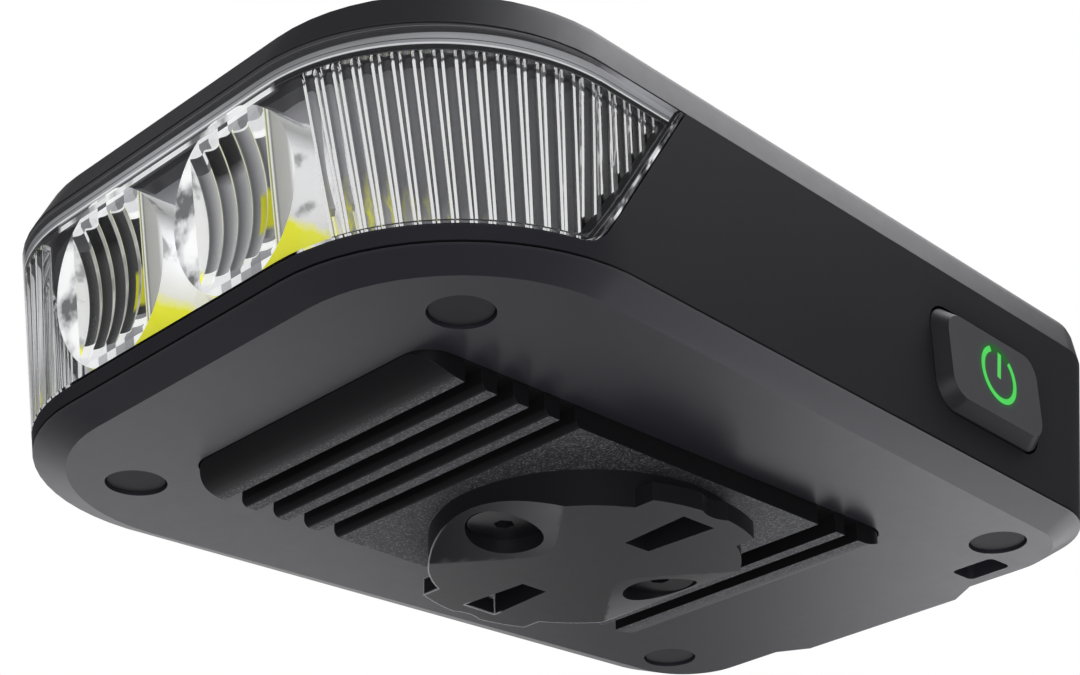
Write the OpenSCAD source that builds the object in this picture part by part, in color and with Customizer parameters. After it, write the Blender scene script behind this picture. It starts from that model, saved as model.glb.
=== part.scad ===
/* [Body outline] */
// Front edge of the parting line, measured forwards from the mount's centre
parting_front = 43.75; // [42:0.25:46]
// Rear edge of the parting line, measured backwards from the mount's centre
parting_rear = 40.8; // [40:0.2:43]
// Half the body's width at its front corners
front_half = 30.95; // [30.5:0.05:32]
// Half the body's width at its rear corners
rear_half = 27.5; // [27:0.1:29]
// Corner radius at the front, seen from above
front_r = 17.65; // [16.5:0.05:18]
// Corner radius at the rear, seen from above
rear_r = 8.5; // [8:0.1:9]
// Lean of the front face, top edge forwards
front_rake = 9; // [7:0.5:10]
// Lean of the rear face, top edge backwards
rear_rake = 12; // [10:0.5:13]

/* [Body heights] */
// Height of the bevel round the flat underside
bevel_h = 1.15; // [1:0.05:1.3]
// Height of the side wall above the bevel
wall_h = 17.2; // [17:0.1:18]
// Height of the top cover's side band
band_h = 2.7; // [2.5:0.1:3]
// Inward lean of the band over its height
band_inset = 0.65; // [0.4:0.05:0.8]
// How far the band's front leans back beyond its sides
band_back = 1.2; // [0.8:0.1:1.4]
// Height of the rounded crown above the band
crown_h = 1.3; // [1.2:0.1:1.5]
// Thickness of the housing wall
wall = 2.6; // [2.5:0.1:2.8]

/* [Underside] */
// Front edge of the flat underside
flat_front = 41; // [40.5:0.1:41.5]
// Rear edge of the flat underside
flat_rear = 39.35; // [39:0.05:39.6]
// Half width of the flat underside at the front
flat_front_half = 28.2; // [27.8:0.1:28.6]
// Half width of the flat underside at the rear
flat_rear_half = 24.4; // [24:0.1:24.8]
// Corner radius of the flat at the front
flat_front_r = 15; // [14.5:0.1:15.5]
// Corner radius of the flat at the rear
flat_rear_r = 6.4; // [6:0.1:7]
// Thickness of the bottom cover
floor_t = 1.8; // [1.7:0.1:2]

/* [Cooling base] */
// Width of the finned pad
pad_w = 29.6; // [28:0.2:31]
// How far the pad stands out of the flat
pad_h = 1.8; // [1.6:0.1:2.2]
// Front edge of the pad, in front of the mount's centre
pad_front = 31.1; // [30.5:0.1:32]
// Rear edge of the pad, behind the mount's centre
pad_rear = 23.6; // [23:0.1:24.5]
// Length of the rounded ramp at the pad's front
ramp_l = 3.9; // [3:0.1:4.5]
// Pitch of the cooling fins
fin_pitch = 3.3; // [3:0.1:3.6]
// Width of a groove between fins
groove_w = 1.7; // [1.5:0.1:1.9]
// Number of grooves in front of the mount
front_grooves = 4; // [2:1:4]

/* [Quarter-turn mount] */
// Radius of the mount's round core
core_r = 13.4; // [13:0.1:13.6]
// Height of the mount above the pad
core_h = 3.2; // [3:0.1:3.6]
// Reach of the two locking tabs past the core
tab_reach = 1.8; // [1.4:0.1:2]
// Thickness of the locking tabs
tab_t = 1.6; // [1.4:0.1:1.8]
// Half the width of a locking tab
tab_half = 6.1; // [5.8:0.1:6.4]
// Distance of each screw hole from the core's rim
mount_screw_in = 4; // [3.8:0.1:4.2]
// Radius of the screw's counterbore
mount_bore_r = 3.3; // [3:0.1:3.4]

/* [Lens and optics] */
// Height of the sill under the lens, above the flat
sill_h = 2.5; // [2.2:0.1:2.8]
// Thickness of the clear lens
lens_t = 1.3; // [1.2:0.05:1.5]
// Foot of the window's slanted edge, in front of the mount's centre
window_foot = 28.9; // [28:0.1:30]
// Lean of the window's slanted edge from upright
window_lean = 33.5; // [30:0.5:36]
// Radius of the window's lower rear corner
window_r = 3; // [2.4:0.1:3.6]
// Pitch of the upright ribs inside the lens
rib_pitch = 1.65; // [1.6:0.05:1.8]
// Radius of each rib
rib_r = 0.62; // [0.5:0.02:0.68]
// Distance of each optic from the middle
optic_x = 7.95; // [7.8:0.05:8.4]
// Height of the optics' axes above the flat
optic_h = 10.2; // [10.1:0.05:10.3]
// Radius of the optics' round barrels
optic_r = 7.2; // [7:0.05:7.3]
// Distance of the light sources in front of the mount's centre
light_front = 32.5; // [32.3:0.1:32.7]
// Number of moulded flutes across each optic
flutes = 5; // [3:2:5]

/* [Button] */
// Distance of the button behind the mount's centre
button_y = 21.2; // [20:0.2:22]
// Height of the button's centre above the flat
button_h = 9.5; // [9.3:0.1:9.8]
// Length of the button along the wall
button_l = 15.6; // [14:0.2:16]
// Height of the button
button_w = 9.65; // [9:0.05:10]
// How far the button stands out of the wall
button_out = 1.2; // [1:0.1:1.3]
// Travel of the button
button_travel = 0.4; // [0.3:0.1:0.5]

/* [Charging port] */
// Width of the port cover
flap_w = 18; // [17:0.5:19]
// Width of the ledge below the port cover, where it leaves the flat
ledge_w = 24; // [23:0.5:26]
// Height of the port cover's hinge line up the rear wall
flap_hinge_v = 11; // [10.6:0.1:11.4]
// Height of the charging socket's centre above the flat
port_h = 8.25; // [8.25:0.05:8.4]

/* [Fixings] */
// Distance between the cover screws, across
screw_dx = 40.4; // [40:0.1:41]
// Distance between the cover screws, along
screw_dy = 64.9; // [64:0.1:65.5]
// Radius of the round caps over the cover screws
cap_r = 2.5; // [2.4:0.05:2.6]

/* [Hidden] */

$fn = 64;
corner_fn = 60;
tab_r = core_r + tab_reach;
mount_screw_y = core_r - mount_screw_in;
skin = 0.01;
far = 60;
fit = 0.1;
face_gap = 0.05;
thread_gap = 0.05;
tip_gap = 0.2;
clear = 0.3;

flat_z = core_h + pad_h;
wall_top = bevel_h + wall_h;
band_top = wall_top + band_h;
body_top = band_top + crown_h;
front_cx = front_half - front_r;
rear_cx = rear_half - rear_r;

// Depth of the outer face at a height above the flat
function front_at(h) = -parting_front - tan(front_rake) * (h - bevel_h);
function rear_at(h) = parting_rear + tan(rear_rake) * (h - bevel_h);

// Turn of the side wall from straight, and its distance from the middle, at a height
function wall_run(h) = rear_at(h) - rear_r - front_at(h) - front_r;
function wall_turn(h) = asin((front_r - rear_r) / norm([rear_cx - front_cx, wall_run(h)]))
    - atan2(rear_cx - front_cx, wall_run(h));
function wall_reach(h) = front_cx * cos(wall_turn(h)) + (front_at(h) + front_r) * sin(wall_turn(h))
    + front_r;
function wall_x(y, h) = (wall_reach(h) - y * sin(wall_turn(h))) / cos(wall_turn(h));

// A thin slice of the body's outline, drawn in by an inset, its front moved back
module body_slice(h, inset, back = 0) {
    translate([0, 0, h])
        linear_extrude(skin)
            for (side = [-1, 1]) {
                translate([side * front_cx, front_at(h) + front_r + back])
                    circle(r = front_r - inset, $fn = corner_fn);
                translate([side * rear_cx, rear_at(h) - rear_r])
                    circle(r = rear_r - inset, $fn = corner_fn);
            }
}

// The body's form between two heights
module body_loft(h0, h1, inset0, inset1) {
    hull() {
        body_slice(h0, inset0);
        body_slice(h1 - skin, inset1);
    }
}

// A closed wall that follows the body's form
module body_ring(h0, h1, outer, inner) {
    difference() {
        body_loft(h0, h1, outer, outer);
        body_loft(h0 - 1, h1 + 1, inner, inner);
    }
}

module flat_slice() {
    linear_extrude(skin)
        for (side = [-1, 1]) {
            translate([side * (flat_front_half - flat_front_r), -flat_front + flat_front_r])
                circle(r = flat_front_r, $fn = corner_fn);
            translate([side * (flat_rear_half - flat_rear_r), flat_rear - flat_rear_r])
                circle(r = flat_rear_r, $fn = corner_fn);
        }
}

module rounded_rect(w, h, r) {
    square([w - 2 * r, h], center = true);
    square([w, h - 2 * r], center = true);
    for (x = [-1, 1], y = [-1, 1])
        translate([x * (w / 2 - r), y * (h / 2 - r)])
            circle(r = r);
}

// Side view of the lens window: its slanted edge drawn in by an inset, its foot raised
module window_profile(inset, rise, top) {
    r = window_r - inset;
    t = r / tan(45 + window_lean / 2);
    foot = -window_foot + rise * tan(window_lean) - inset / cos(window_lean);
    low = sill_h + rise;
    head = -window_foot + (top - sill_h) * tan(window_lean) - inset / cos(window_lean);
    polygon([[-far, low], [foot - t, low], [foot + t * sin(window_lean), low + t * cos(window_lean)],
        [head, top], [-far, top]]);
    translate([foot - t, low + r])
        circle(r = r);
}

module window_prism(inset, rise, top) {
    translate([-far, 0, 0])
        rotate([90, 0, 90])
            linear_extrude(2 * far)
                window_profile(inset, rise, top);
}

// Frame on the side wall at the button: x along the wall, y up, z outwards
module at_button() {
    translate([wall_x(button_y, button_h), button_y, button_h])
        rotate([0, 0, wall_turn(button_h)])
            rotate([90, 0, 90])
                children();
}

// Frame on the rear wall at the parting line: y up the wall, z outwards
module at_rear() {
    translate([0, parting_rear, bevel_h])
        rotate([-rear_rake, 0, 0])
            rotate([90, 0, 180])
                children();
}

module at_cover_screws() {
    for (x = [-1, 1], y = [-1, 1])
        translate([x * screw_dx / 2, y * screw_dy / 2, 0])
            children();
}

module on_flat() {
    translate([0, 0, flat_z])
        children();
}

// Barrels of the two optics, with room round them
module optic_room(gap) {
    for (side = [-1, 1])
        translate([side * optic_x, -light_front, optic_h])
            rotate([90, 0, 0])
                cylinder(r = optic_r + gap, h = far / 2);
}

// A straight round rod between two points
module rod(p, q, r) {
    d = q - p;
    translate(p)
        rotate([0, acos(d[2] / norm(d)), atan2(d[1], d[0])])
            cylinder(r = r, h = norm(d));
}

// A wire through a list of points, with round bends
module wire(points, r) {
    for (i = [1 : len(points) - 1])
        rod(points[i - 1], points[i], r);
    for (i = [1 : len(points) - 2])
        translate(points[i])
            sphere(r = r * 1.05);
}

// A screw with a cross recess: head above the origin, shank below it
module screw(head_r, head_t, shank_r, shank_l) {
    slot = head_t * 0.5;
    difference() {
        cylinder(r = head_r, h = head_t);
        for (a = [0, 90])
            rotate([0, 0, a])
                translate([-head_r * 0.6, -head_r * 0.12, head_t - slot])
                    cube([head_r * 1.2, head_r * 0.24, slot + 1]);
    }
    translate([0, 0, -shank_l])
        cylinder(r = shank_r, h = shank_l + slot * 0.5);
}

// Cover screws: heights above the flat
cap_seat = 1.15;
cap_sunk = 0.25;
cover_head_r = 2.2;
cover_head_t = 1.5;
cover_seat = 2.8;
cover_shank_r = 1.25;
cover_tip = 13;
boss_r = 3.7;
boss_top = 4.2;
post_r = 3;

// Inner rims that lock the covers into the housing
rim_gap = 0.15;
rim_t = 1.3;
bottom_rim_top = 3.3;
top_rim_h = 1.5;
roof_h = body_top - 1.9;
crown_steps = 3;
crown_inset = 2.2;

module top_cover() {
    color("#2b2b2e")
        on_flat() {
            difference() {
                hull() {
                    body_slice(wall_top, 0);
                    for (i = [0 : crown_steps])
                        body_slice(band_top - skin + crown_h * sin(90 * i / crown_steps),
                            band_inset + crown_inset * (1 - cos(90 * i / crown_steps)), band_back);
                }
                body_loft(wall_top - 1, roof_h, wall, wall + band_inset);
            }
            difference() {
                body_ring(wall_top - top_rim_h, wall_top + 1, wall + rim_gap, wall + rim_gap + rim_t);
                optic_room(clear);
            }
            at_cover_screws()
                translate([0, 0, boss_top + face_gap])
                    difference() {
                        cylinder(r = post_r, h = roof_h - boss_top + 0.5);
                        translate([0, 0, -1])
                            cylinder(r = cover_shank_r + thread_gap, h = cover_tip - boss_top + 1.5);
                    }
        }
}

// Seal groove, lens seat and flange, button hole and port recess
seal_inset = 1.3;
seal_w = 0.9;
seal_h = 0.8;
gasket_t = 0.35;
lens_seat = lens_t + gasket_t;
flange_w = 1.2;
flange_rise = 0.6;
button_gap = 0.25;
button_r = 2.4;
flap_floor = 1;
flap_out = 0.5;
flap_gap = 0.15;
flap_foot_v = 0.35;
flap_r = 1.2;
bead_r = 0.7;
anchor_v = flap_hinge_v + bead_r + 0.25;
anchor_l = 1.8;
plug_w = 8.4;
plug_h = 2.7;
plug_l = 1.3;
plug_gap = 0.7;
port_v = (port_h - bevel_h) / cos(rear_rake);

module housing() {
    color("#333336")
        on_flat()
            difference() {
                body_ring(bevel_h, wall_top, 0, wall);
                body_ring(bevel_h - 1, bevel_h + seal_h, seal_inset, seal_inset + seal_w);
                difference() {
                    window_prism(0, 0, wall_top + 1);
                    body_loft(0, wall_top + 2, lens_seat, lens_seat);
                }
                window_prism(flange_w, flange_rise, wall_top + 1);
                optic_room(clear);
                at_button()
                    translate([0, 0, -wall - 1])
                        linear_extrude(wall + 2)
                            rounded_rect(button_l + 2 * button_gap, button_w + 2 * button_gap,
                                button_r + button_gap);
                at_rear() {
                    translate([-flap_w / 2 - flap_gap, -2, -flap_floor - flap_gap])
                        cube([flap_w + 2 * flap_gap, anchor_v + anchor_l + flap_gap + 2, wall]);
                    translate([0, port_v, -wall - 1])
                        linear_extrude(wall + 1)
                            rounded_rect(plug_w + 2 * plug_gap, plug_h + 2 * plug_gap,
                                plug_h / 2 + plug_gap - skin);
                }
            }
}

module body_seal() {
    color("#b04a3c")
        on_flat()
            body_ring(bevel_h, bevel_h + seal_h - face_gap, seal_inset + face_gap,
                seal_inset + seal_w - face_gap);
}

// Bottom cover: blind slot beside the port, ledge below the port cover, opening for the pad
slot_x = 15.35;
slot_y = 36.5;
slot_l = 4.5;
slot_w = 3;
slot_r = 0.6;
slot_depth = 2;
slot_wall = 0.8;
ledge_out = 1.75;
pad_r = 2.5;
pad_gap = 0.15;
pad_l = pad_front + pad_rear;
pad_mid = (pad_rear - pad_front) / 2;
sink_screw_x = 17.3;
sink_screw_y = [-20, 18];
sink_screw_r = 0.8;
sink_screw_l = 3.2;

module at_sink_screws() {
    for (x = [-1, 1], y = sink_screw_y)
        translate([x * sink_screw_x, y, 0])
            children();
}

module port_ledge() {
    linear_extrude(bevel_h - face_gap)
        polygon([[-ledge_w / 2, flat_rear], [-ledge_w / 2, flat_rear - 1], [ledge_w / 2, flat_rear - 1],
            [ledge_w / 2, flat_rear], [flap_w / 2, flat_rear + ledge_out],
            [-flap_w / 2, flat_rear + ledge_out]]);
}

module bottom_cover() {
    color("#38383b")
        on_flat()
            difference() {
                union() {
                    hull() {
                        flat_slice();
                        body_slice(bevel_h - face_gap - skin, 0);
                    }
                    difference() {
                        body_loft(bevel_h - 0.5, bottom_rim_top, wall + rim_gap, wall + rim_gap);
                        body_loft(floor_t, bottom_rim_top + 1, wall + rim_gap + rim_t,
                            wall + rim_gap + rim_t);
                    }
                    port_ledge();
                    intersection() {
                        at_cover_screws()
                            translate([0, 0, floor_t - face_gap])
                                cylinder(r = boss_r, h = boss_top - floor_t + face_gap);
                        body_loft(floor_t - clear, boss_top + 1, wall + rim_gap, wall + rim_gap);
                    }
                    translate([slot_x, slot_y - slot_wall / 2, 1])
                        linear_extrude(slot_depth - 1 + slot_wall)
                            rounded_rect(slot_l + 2 * slot_wall, slot_w + slot_wall, slot_r);
                }
                at_cover_screws()
                    translate([0, 0, -1]) {
                        cylinder(r = cap_r + fit, h = cap_seat + 1);
                        cylinder(r = cover_head_r + fit, h = cover_seat + 1);
                        cylinder(r = cover_shank_r + fit, h = boss_top + 2);
                    }
                at_sink_screws()
                    translate([0, 0, sink_plate_top - sink_screw_l - 0.1])
                        cylinder(r = sink_screw_r + thread_gap, h = sink_screw_l);
                translate([0, pad_mid, -1])
                    linear_extrude(floor_t + 2)
                        rounded_rect(pad_w + 2 * pad_gap, pad_l + 2 * pad_gap, pad_r + pad_gap);
                translate([slot_x, slot_y, -1])
                    linear_extrude(slot_depth + 1)
                        rounded_rect(slot_l, slot_w, slot_r);
                optic_room(clear);
            }
}

// Clear lens with upright ribs on its inner face
rib_border = 1.4;
rib_rise = 0.7;
rib_top = 16.6;
rib_first_y = 29;
side_ribs = 7;
corner_ribs = 14;
corner_foot_angles = [76, 18];
corner_top_angles = [82, 14];
rib_reach = front_r - lens_t;

// A point on the lens's inner face: at an angle round the corner, or at a place along the side
function corner_point(h, a) = [front_cx + rib_reach * sin(a), front_at(h) + front_r - rib_reach * cos(a), h];
function side_point(h, y) = let (past = y - front_at(h) - front_r)
    past < 0
        ? [front_cx + sqrt(rib_reach * rib_reach - past * past), y, h]
        : [wall_x(y, h) - lens_t / cos(wall_turn(h)), y, h];

module lens_ribs() {
    for (i = [0 : side_ribs - 1])
        let (y = -rib_first_y + i * rib_pitch)
            rod(side_point(sill_h, y), side_point(rib_top, y), rib_r, $fn = 12);
    for (i = [0 : corner_ribs - 1])
        let (t = i / (corner_ribs - 1))
            rod(corner_point(sill_h, corner_foot_angles[0] * (1 - t) + corner_foot_angles[1] * t),
                corner_point(rib_top, corner_top_angles[0] * (1 - t) + corner_top_angles[1] * t),
                rib_r, $fn = 12);
}

module front_lens() {
    color([0.9, 0.93, 0.95, 0.4])
        on_flat() {
            intersection() {
                body_ring(sill_h, wall_top - face_gap, 0, lens_t);
                window_prism(fit, fit, wall_top + 1);
            }
            intersection() {
                for (side = [0, 1])
                    mirror([side, 0, 0])
                        lens_ribs();
                window_prism(rib_border, rib_rise, rib_top);
            }
        }
}

module lens_gasket() {
    color("#1d1d1f")
        on_flat()
            difference() {
                intersection() {
                    body_ring(sill_h, wall_top - top_rim_h, lens_t + skin, lens_seat - skin);
                    window_prism(fit, fit, wall_top + 1);
                }
                window_prism(flange_w, flange_rise, wall_top + 1);
                optic_room(clear);
            }
}

// Optics: a cone that gathers the light, a barrel, and a face with hollow flutes
cone_steps = 8;
cone_r = 3.4;
cone_l = 7.4;
cone_power = 0.62;
cup_r = 2.7;
cup_h = 3;
cup_bulge = 0.8;
flute_w = 1.8;
flute_r = 1.5;
roller_r = 12;
roller_dip = 1.5;
optic_gap = 0.2;

// Grooved roller that hollows the flutes out of the face
module flute_roller() {
    for (i = [0 : flutes - 1])
        translate([(i - (flutes - 1) / 2) * flute_w, 0, 0])
            rotate([0, 90, 0])
                rotate_extrude()
                    intersection() {
                        translate([0, -flute_w / 2])
                            square([roller_r, flute_w]);
                        union() {
                            translate([0, -flute_w])
                                square([roller_r - 0.6, 2 * flute_w]);
                            translate([roller_r - flute_r, 0])
                                circle(r = flute_r);
                        }
                    }
}

module optic(side) {
    face_y = front_at(optic_h) + lens_t / cos(front_rake) + optic_gap;
    barrel_l = -face_y - light_front;
    color([0.95, 0.96, 0.93, 0.5])
        on_flat()
            translate([side * optic_x, 0, optic_h])
                difference() {
                    translate([0, -light_front, 0])
                        rotate([90, 0, 0])
                            rotate_extrude()
                                polygon([[0, cup_h - cup_bulge], [cup_r, cup_h],
                                    [cup_r, face_gap - package_t],
                                    [cone_r, face_gap - package_t],
                                    for (i = [0 : cone_steps])
                                        [cone_r + (optic_r - cone_r) * pow(i / cone_steps, cone_power),
                                            cone_l * i / cone_steps],
                                    [optic_r, barrel_l + 2], [0, barrel_l + 2]]);
                    translate([0, face_y, 0])
                        rotate([front_rake, 0, 0]) {
                            translate([-far / 2, -far, -far / 2])
                                cube(far);
                            translate([0, -roller_r + roller_dip, 0])
                                flute_roller();
                        }
                }
}

module optic_left() {
    optic(-1);
}

module optic_right() {
    optic(1);
}

// Dark surround behind the lens, arched over the optics
bezel_inset = 4.4;
bezel_t = 1;
bezel_back = 1;
bezel_foot = 4.3;
bezel_past = 2;
arch_half = 16.5;
arch_top = 8;

module optic_bezel() {
    color("#5b5b60")
        on_flat()
            difference() {
                intersection() {
                    translate([0, bezel_back, 0])
                        body_ring(bezel_foot, roof_h - face_gap, bezel_inset, bezel_inset + bezel_t);
                    window_prism(-bezel_past, 0, roof_h);
                }
                optic_room(fit);
                at_cover_screws()
                    cylinder(r = post_r + clear, h = far);
                translate([-arch_half, -far, 0])
                    cube([2 * arch_half, far, arch_top]);
            }
}

// Light board, upright behind the optics
package_w = 3.6;
package_t = 0.7;
phosphor_w = 3;
phosphor_t = 0.25;
light_board_t = 1.2;
light_board_w = 33;
light_board_foot = 4.6;
light_board_top = 17;
light_board_face = -light_front + package_t;
light_board_back = light_board_face + light_board_t;
light_screw_h = [6.2, 15.4];
light_screw_r = 0.8;
light_screw_l = 3.4;
small_head_r = 1.7;
small_head_t = 1;

// Frame at each light source: z forwards
module at_lights() {
    for (side = [-1, 1])
        translate([side * optic_x, -light_front, optic_h])
            rotate([90, 0, 0])
                children();
}

module at_light_screws() {
    for (h = light_screw_h)
        translate([0, light_board_face, h])
            rotate([90, 0, 0])
                children();
}

module led_board() {
    color("#e6e6e0")
        on_flat()
            difference() {
                translate([-light_board_w / 2, light_board_face, light_board_foot])
                    cube([light_board_w, light_board_t, light_board_top - light_board_foot]);
                at_light_screws()
                    translate([0, 0, -light_board_t - 1])
                        cylinder(r = light_screw_r + fit, h = light_board_t + 2);
            }
}

module led_packages() {
    color("#f2f2ee")
        on_flat()
            at_lights()
                translate([-package_w / 2, -package_w / 2, -package_t])
                    cube([package_w, package_w, package_t]);
}

module led_phosphors() {
    color("#e3e64a")
        on_flat()
            at_lights()
                translate([-phosphor_w / 2, -phosphor_w / 2, 0])
                    cube([phosphor_w, phosphor_w, phosphor_t]);
}

module led_board_screws() {
    color("#c9c9cc")
        on_flat()
            at_light_screws()
                screw(small_head_r, small_head_t, light_screw_r, light_screw_l);
}

// Control board on four standoffs
board_foot = 5.4;
board_t = 1.2;
board_top = board_foot + board_t;
board_edge = 4.84;
board_half = wall_x(button_y, button_h) - board_edge;
board_tail_half = 15.5;
board_front = 20;
board_step = 28.5;
board_rear = 37;
board_screw_x = 14.6;
board_screw_y = [-10.5, 21];
board_screw_r = 0.8;
board_screw_l = 3.2;

module at_board_screws() {
    for (x = [-1, 1], y = board_screw_y)
        translate([x * board_screw_x, y, 0])
            children();
}

lead_r = 0.5;
lead_h = 8;
lead_x = [12.6, 14.4];
lead_rear = 25.5;
lead_end = 18.5;

module led_leads() {
    color("#b8322a")
        on_flat()
            for (x = lead_x)
                wire([[x, light_board_back + 0.02, lead_h], [x, -lead_rear, lead_h],
                    [x, -lead_end, board_top + lead_r]], lead_r);
}

// Heat sink: grooved pad outside, plate inside, and an upright behind the light board
ramp_r = (ramp_l * ramp_l + pad_h * pad_h) / (2 * pad_h);
fin_edge_r = 0.7;
rear_groove = [[13.7, 2.4], [17.3, 1.75]];
plate_foot = floor_t + 0.4;
plate_t = 1.6;
sink_plate_top = plate_foot + plate_t;
plate_w = 38;
plate_step = 27.4;
plate_front_w = 32;
plate_front = 33;
plate_rear = 25.6;
upright_t = 3;
upright_w = 33;
upright_top = 16.6;
standoff_r = 2.2;
mount_shank_r = 1.5;
mount_shank_l = 4.2;
mount_head_r = 3.1;
mount_head_t = 0.8;
mount_floor_t = 1;

module pad_ramp() {
    intersection() {
        translate([ramp_l, ramp_r - pad_h])
            circle(r = ramp_r);
        translate([0, -pad_h])
            square([ramp_l + skin, pad_h]);
    }
}

// A groove whose rear edge rounds over into the next fin
module groove(y, w) {
    translate([y, -pad_h - 1])
        square([w, pad_h + 1]);
    translate([y + w - skin, -pad_h - skin])
        difference() {
            square([fin_edge_r, fin_edge_r]);
            translate([fin_edge_r, fin_edge_r])
                circle(r = fin_edge_r);
        }
}

// Side view of the pad, front to the left and its face down
module pad_profile() {
    translate([-pad_front, 0])
        pad_ramp();
    translate([pad_rear, 0])
        mirror([1, 0])
            pad_ramp();
    difference() {
        translate([-pad_front + ramp_l, -pad_h])
            square([pad_l - 2 * ramp_l, pad_h]);
        for (i = [0 : front_grooves - 1])
            groove(-pad_front + ramp_l + i * fin_pitch, groove_w);
        for (g = rear_groove)
            translate([g[0], -pad_h - 1])
                square([g[1], pad_h + 1]);
    }
}

module heat_sink() {
    color("#48484c")
        on_flat()
            difference() {
                union() {
                    intersection() {
                        translate([-pad_w / 2, 0, 0])
                            rotate([90, 0, 90])
                                linear_extrude(pad_w)
                                    pad_profile();
                        translate([0, pad_mid, -pad_h - 1])
                            linear_extrude(pad_h + 2)
                                rounded_rect(pad_w, pad_l, pad_r);
                    }
                    translate([0, pad_mid, 0])
                        linear_extrude(sink_plate_top)
                            rounded_rect(pad_w, pad_l, pad_r);
                    translate([-plate_w / 2, -plate_step, plate_foot])
                        cube([plate_w, plate_step + plate_rear, plate_t]);
                    translate([-plate_front_w / 2, -plate_front, plate_foot])
                        cube([plate_front_w, plate_front - plate_step + 1, plate_t]);
                    translate([-upright_w / 2, light_board_back, plate_foot + plate_t / 2])
                        cube([upright_w, upright_t, upright_top - plate_foot - plate_t / 2]);
                    at_board_screws()
                        translate([0, 0, plate_foot])
                            cylinder(r = standoff_r, h = board_foot - plate_foot);
                }
                for (y = [-1, 1])
                    translate([0, y * mount_screw_y, -pad_h - 1])
                        cylinder(r = mount_shank_r + thread_gap, h = mount_shank_l - mount_floor_t + 1.3);
                at_board_screws()
                    translate([0, 0, board_top - board_screw_l - tip_gap])
                        cylinder(r = board_screw_r + thread_gap, h = board_screw_l);
                at_sink_screws()
                    cylinder(r = sink_screw_r + fit, h = sink_plate_top + 1);
                at_light_screws()
                    translate([0, 0, -light_screw_l - tip_gap])
                        cylinder(r = light_screw_r + thread_gap, h = light_screw_l);
                for (x = lead_x)
                    translate([x, 0, lead_h])
                        rotate([90, 0, 0])
                            cylinder(r = lead_r + clear, h = far);
            }
}

sink_seal_in = 0.3;
sink_seal_out = 1.15;

module sink_seal() {
    color("#b04a3c")
        on_flat()
            translate([0, pad_mid, floor_t + skin])
                linear_extrude(plate_foot - floor_t - 2 * skin)
                    difference() {
                        rounded_rect(pad_w + 2 * sink_seal_out, pad_l + 2 * sink_seal_out,
                            pad_r + sink_seal_out);
                        rounded_rect(pad_w + 2 * sink_seal_in, pad_l + 2 * sink_seal_in,
                            pad_r + sink_seal_in);
                    }
}

module sink_screws() {
    color("#c9c9cc")
        on_flat()
            at_sink_screws()
                translate([0, 0, sink_plate_top])
                    screw(small_head_r, small_head_t, sink_screw_r, sink_screw_l);
}

// Quarter-turn mount: round core, two locking tabs, and a scoop at each end between them
scoop_from = 3.4;
scoop_bend = 32;
scoop_arch = 46;
scoop_rise = 0.02;
detent_r = 3;
detent_depth = 0.5;
pocket_l = 7.1;
pocket_rim = 0.1;
pocket_out = core_r - pocket_rim;
pocket_in = pocket_out - pocket_l;
pocket_in_w = 2.8;
pocket_out_w = 3.7;
pocket_depth = 2.2;
mount_socket_r = 0.9;
mount_socket_t = 0.5;

// The solid that hollows one end of the face: bent along the face and arched across it
module scoop() {
    intersection() {
        translate([0, scoop_from, scoop_bend - scoop_rise])
            rotate([0, 90, 0])
                rotate_extrude()
                    translate([scoop_bend + scoop_arch, 0])
                        circle(r = scoop_arch);
        translate([-core_r - 1, scoop_from, -core_h])
            cube([2 * core_r + 2, core_r, 2 * core_h + 1]);
    }
}

module quarter_turn_mount() {
    color("#2f2f32")
        difference() {
            union() {
                cylinder(r = core_r, h = core_h);
                intersection() {
                    cylinder(r = tab_r, h = tab_t);
                    translate([-far / 2, -tab_half, 0])
                        cube([far, 2 * tab_half, tab_t]);
                }
            }
            for (side = [0, 180])
                rotate([0, 0, side]) {
                    translate([tab_r + detent_r - detent_depth, 0, -1])
                        cylinder(r = detent_r, h = core_h + 2);
                    translate([0, 0, -1])
                        linear_extrude(pocket_depth + 1)
                            polygon([[pocket_in, -pocket_in_w / 2], [pocket_out, -pocket_out_w / 2],
                                [pocket_out, pocket_out_w / 2], [pocket_in, pocket_in_w / 2]]);
                    translate([0, mount_screw_y, -1]) {
                        cylinder(r = mount_bore_r, h = core_h - mount_floor_t + 1);
                        cylinder(r = mount_shank_r + fit, h = core_h + 2);
                    }
                    scoop();
                }
        }
}

module mount_screws() {
    color("#3a3a3d")
        for (y = [-1, 1])
            translate([0, y * mount_screw_y, core_h - mount_floor_t - mount_head_t]) {
                difference() {
                    cylinder(r = mount_head_r, h = mount_head_t);
                    translate([0, 0, -1])
                        cylinder(r = mount_socket_r, h = mount_socket_t + 1, $fn = 6);
                }
                translate([0, 0, mount_head_t - skin])
                    cylinder(r = mount_shank_r, h = mount_shank_l + skin);
            }
}

// Battery on its tray, above the control board
battery_w = 33;
battery_front = 22;
battery_rear = 26;
battery_l = battery_front + battery_rear;
battery_mid = (battery_rear - battery_front) / 2;
battery_t = 9;
battery_r = 2.5;
battery_edge_r = 2.8;
cell_board_w = 14;
cell_board_l = 1;
cell_board_h = 3;
tray_foot = 9.4;
tray_t = 1;
battery_foot = tray_foot + tray_t;
tray_margin = 1;
tray_lip_h = 1.5;
fork_in = 17.3;
fork_front = 31;
fork_rear_in = 13;
fork_rear = 34;

module battery_pack() {
    color("#6d7f96")
        on_flat()
            translate([0, battery_mid, battery_foot]) {
                intersection() {
                    linear_extrude(battery_t)
                        rounded_rect(battery_w, battery_l, battery_r);
                    translate([0, battery_l / 2, battery_t / 2])
                        rotate([90, 0, 0])
                            linear_extrude(battery_l)
                                rounded_rect(battery_w, battery_t, battery_edge_r);
                }
                translate([-cell_board_w / 2, battery_l / 2 - skin, battery_t / 2 - cell_board_h / 2])
                    cube([cell_board_w, cell_board_l, cell_board_h]);
            }
}

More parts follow.
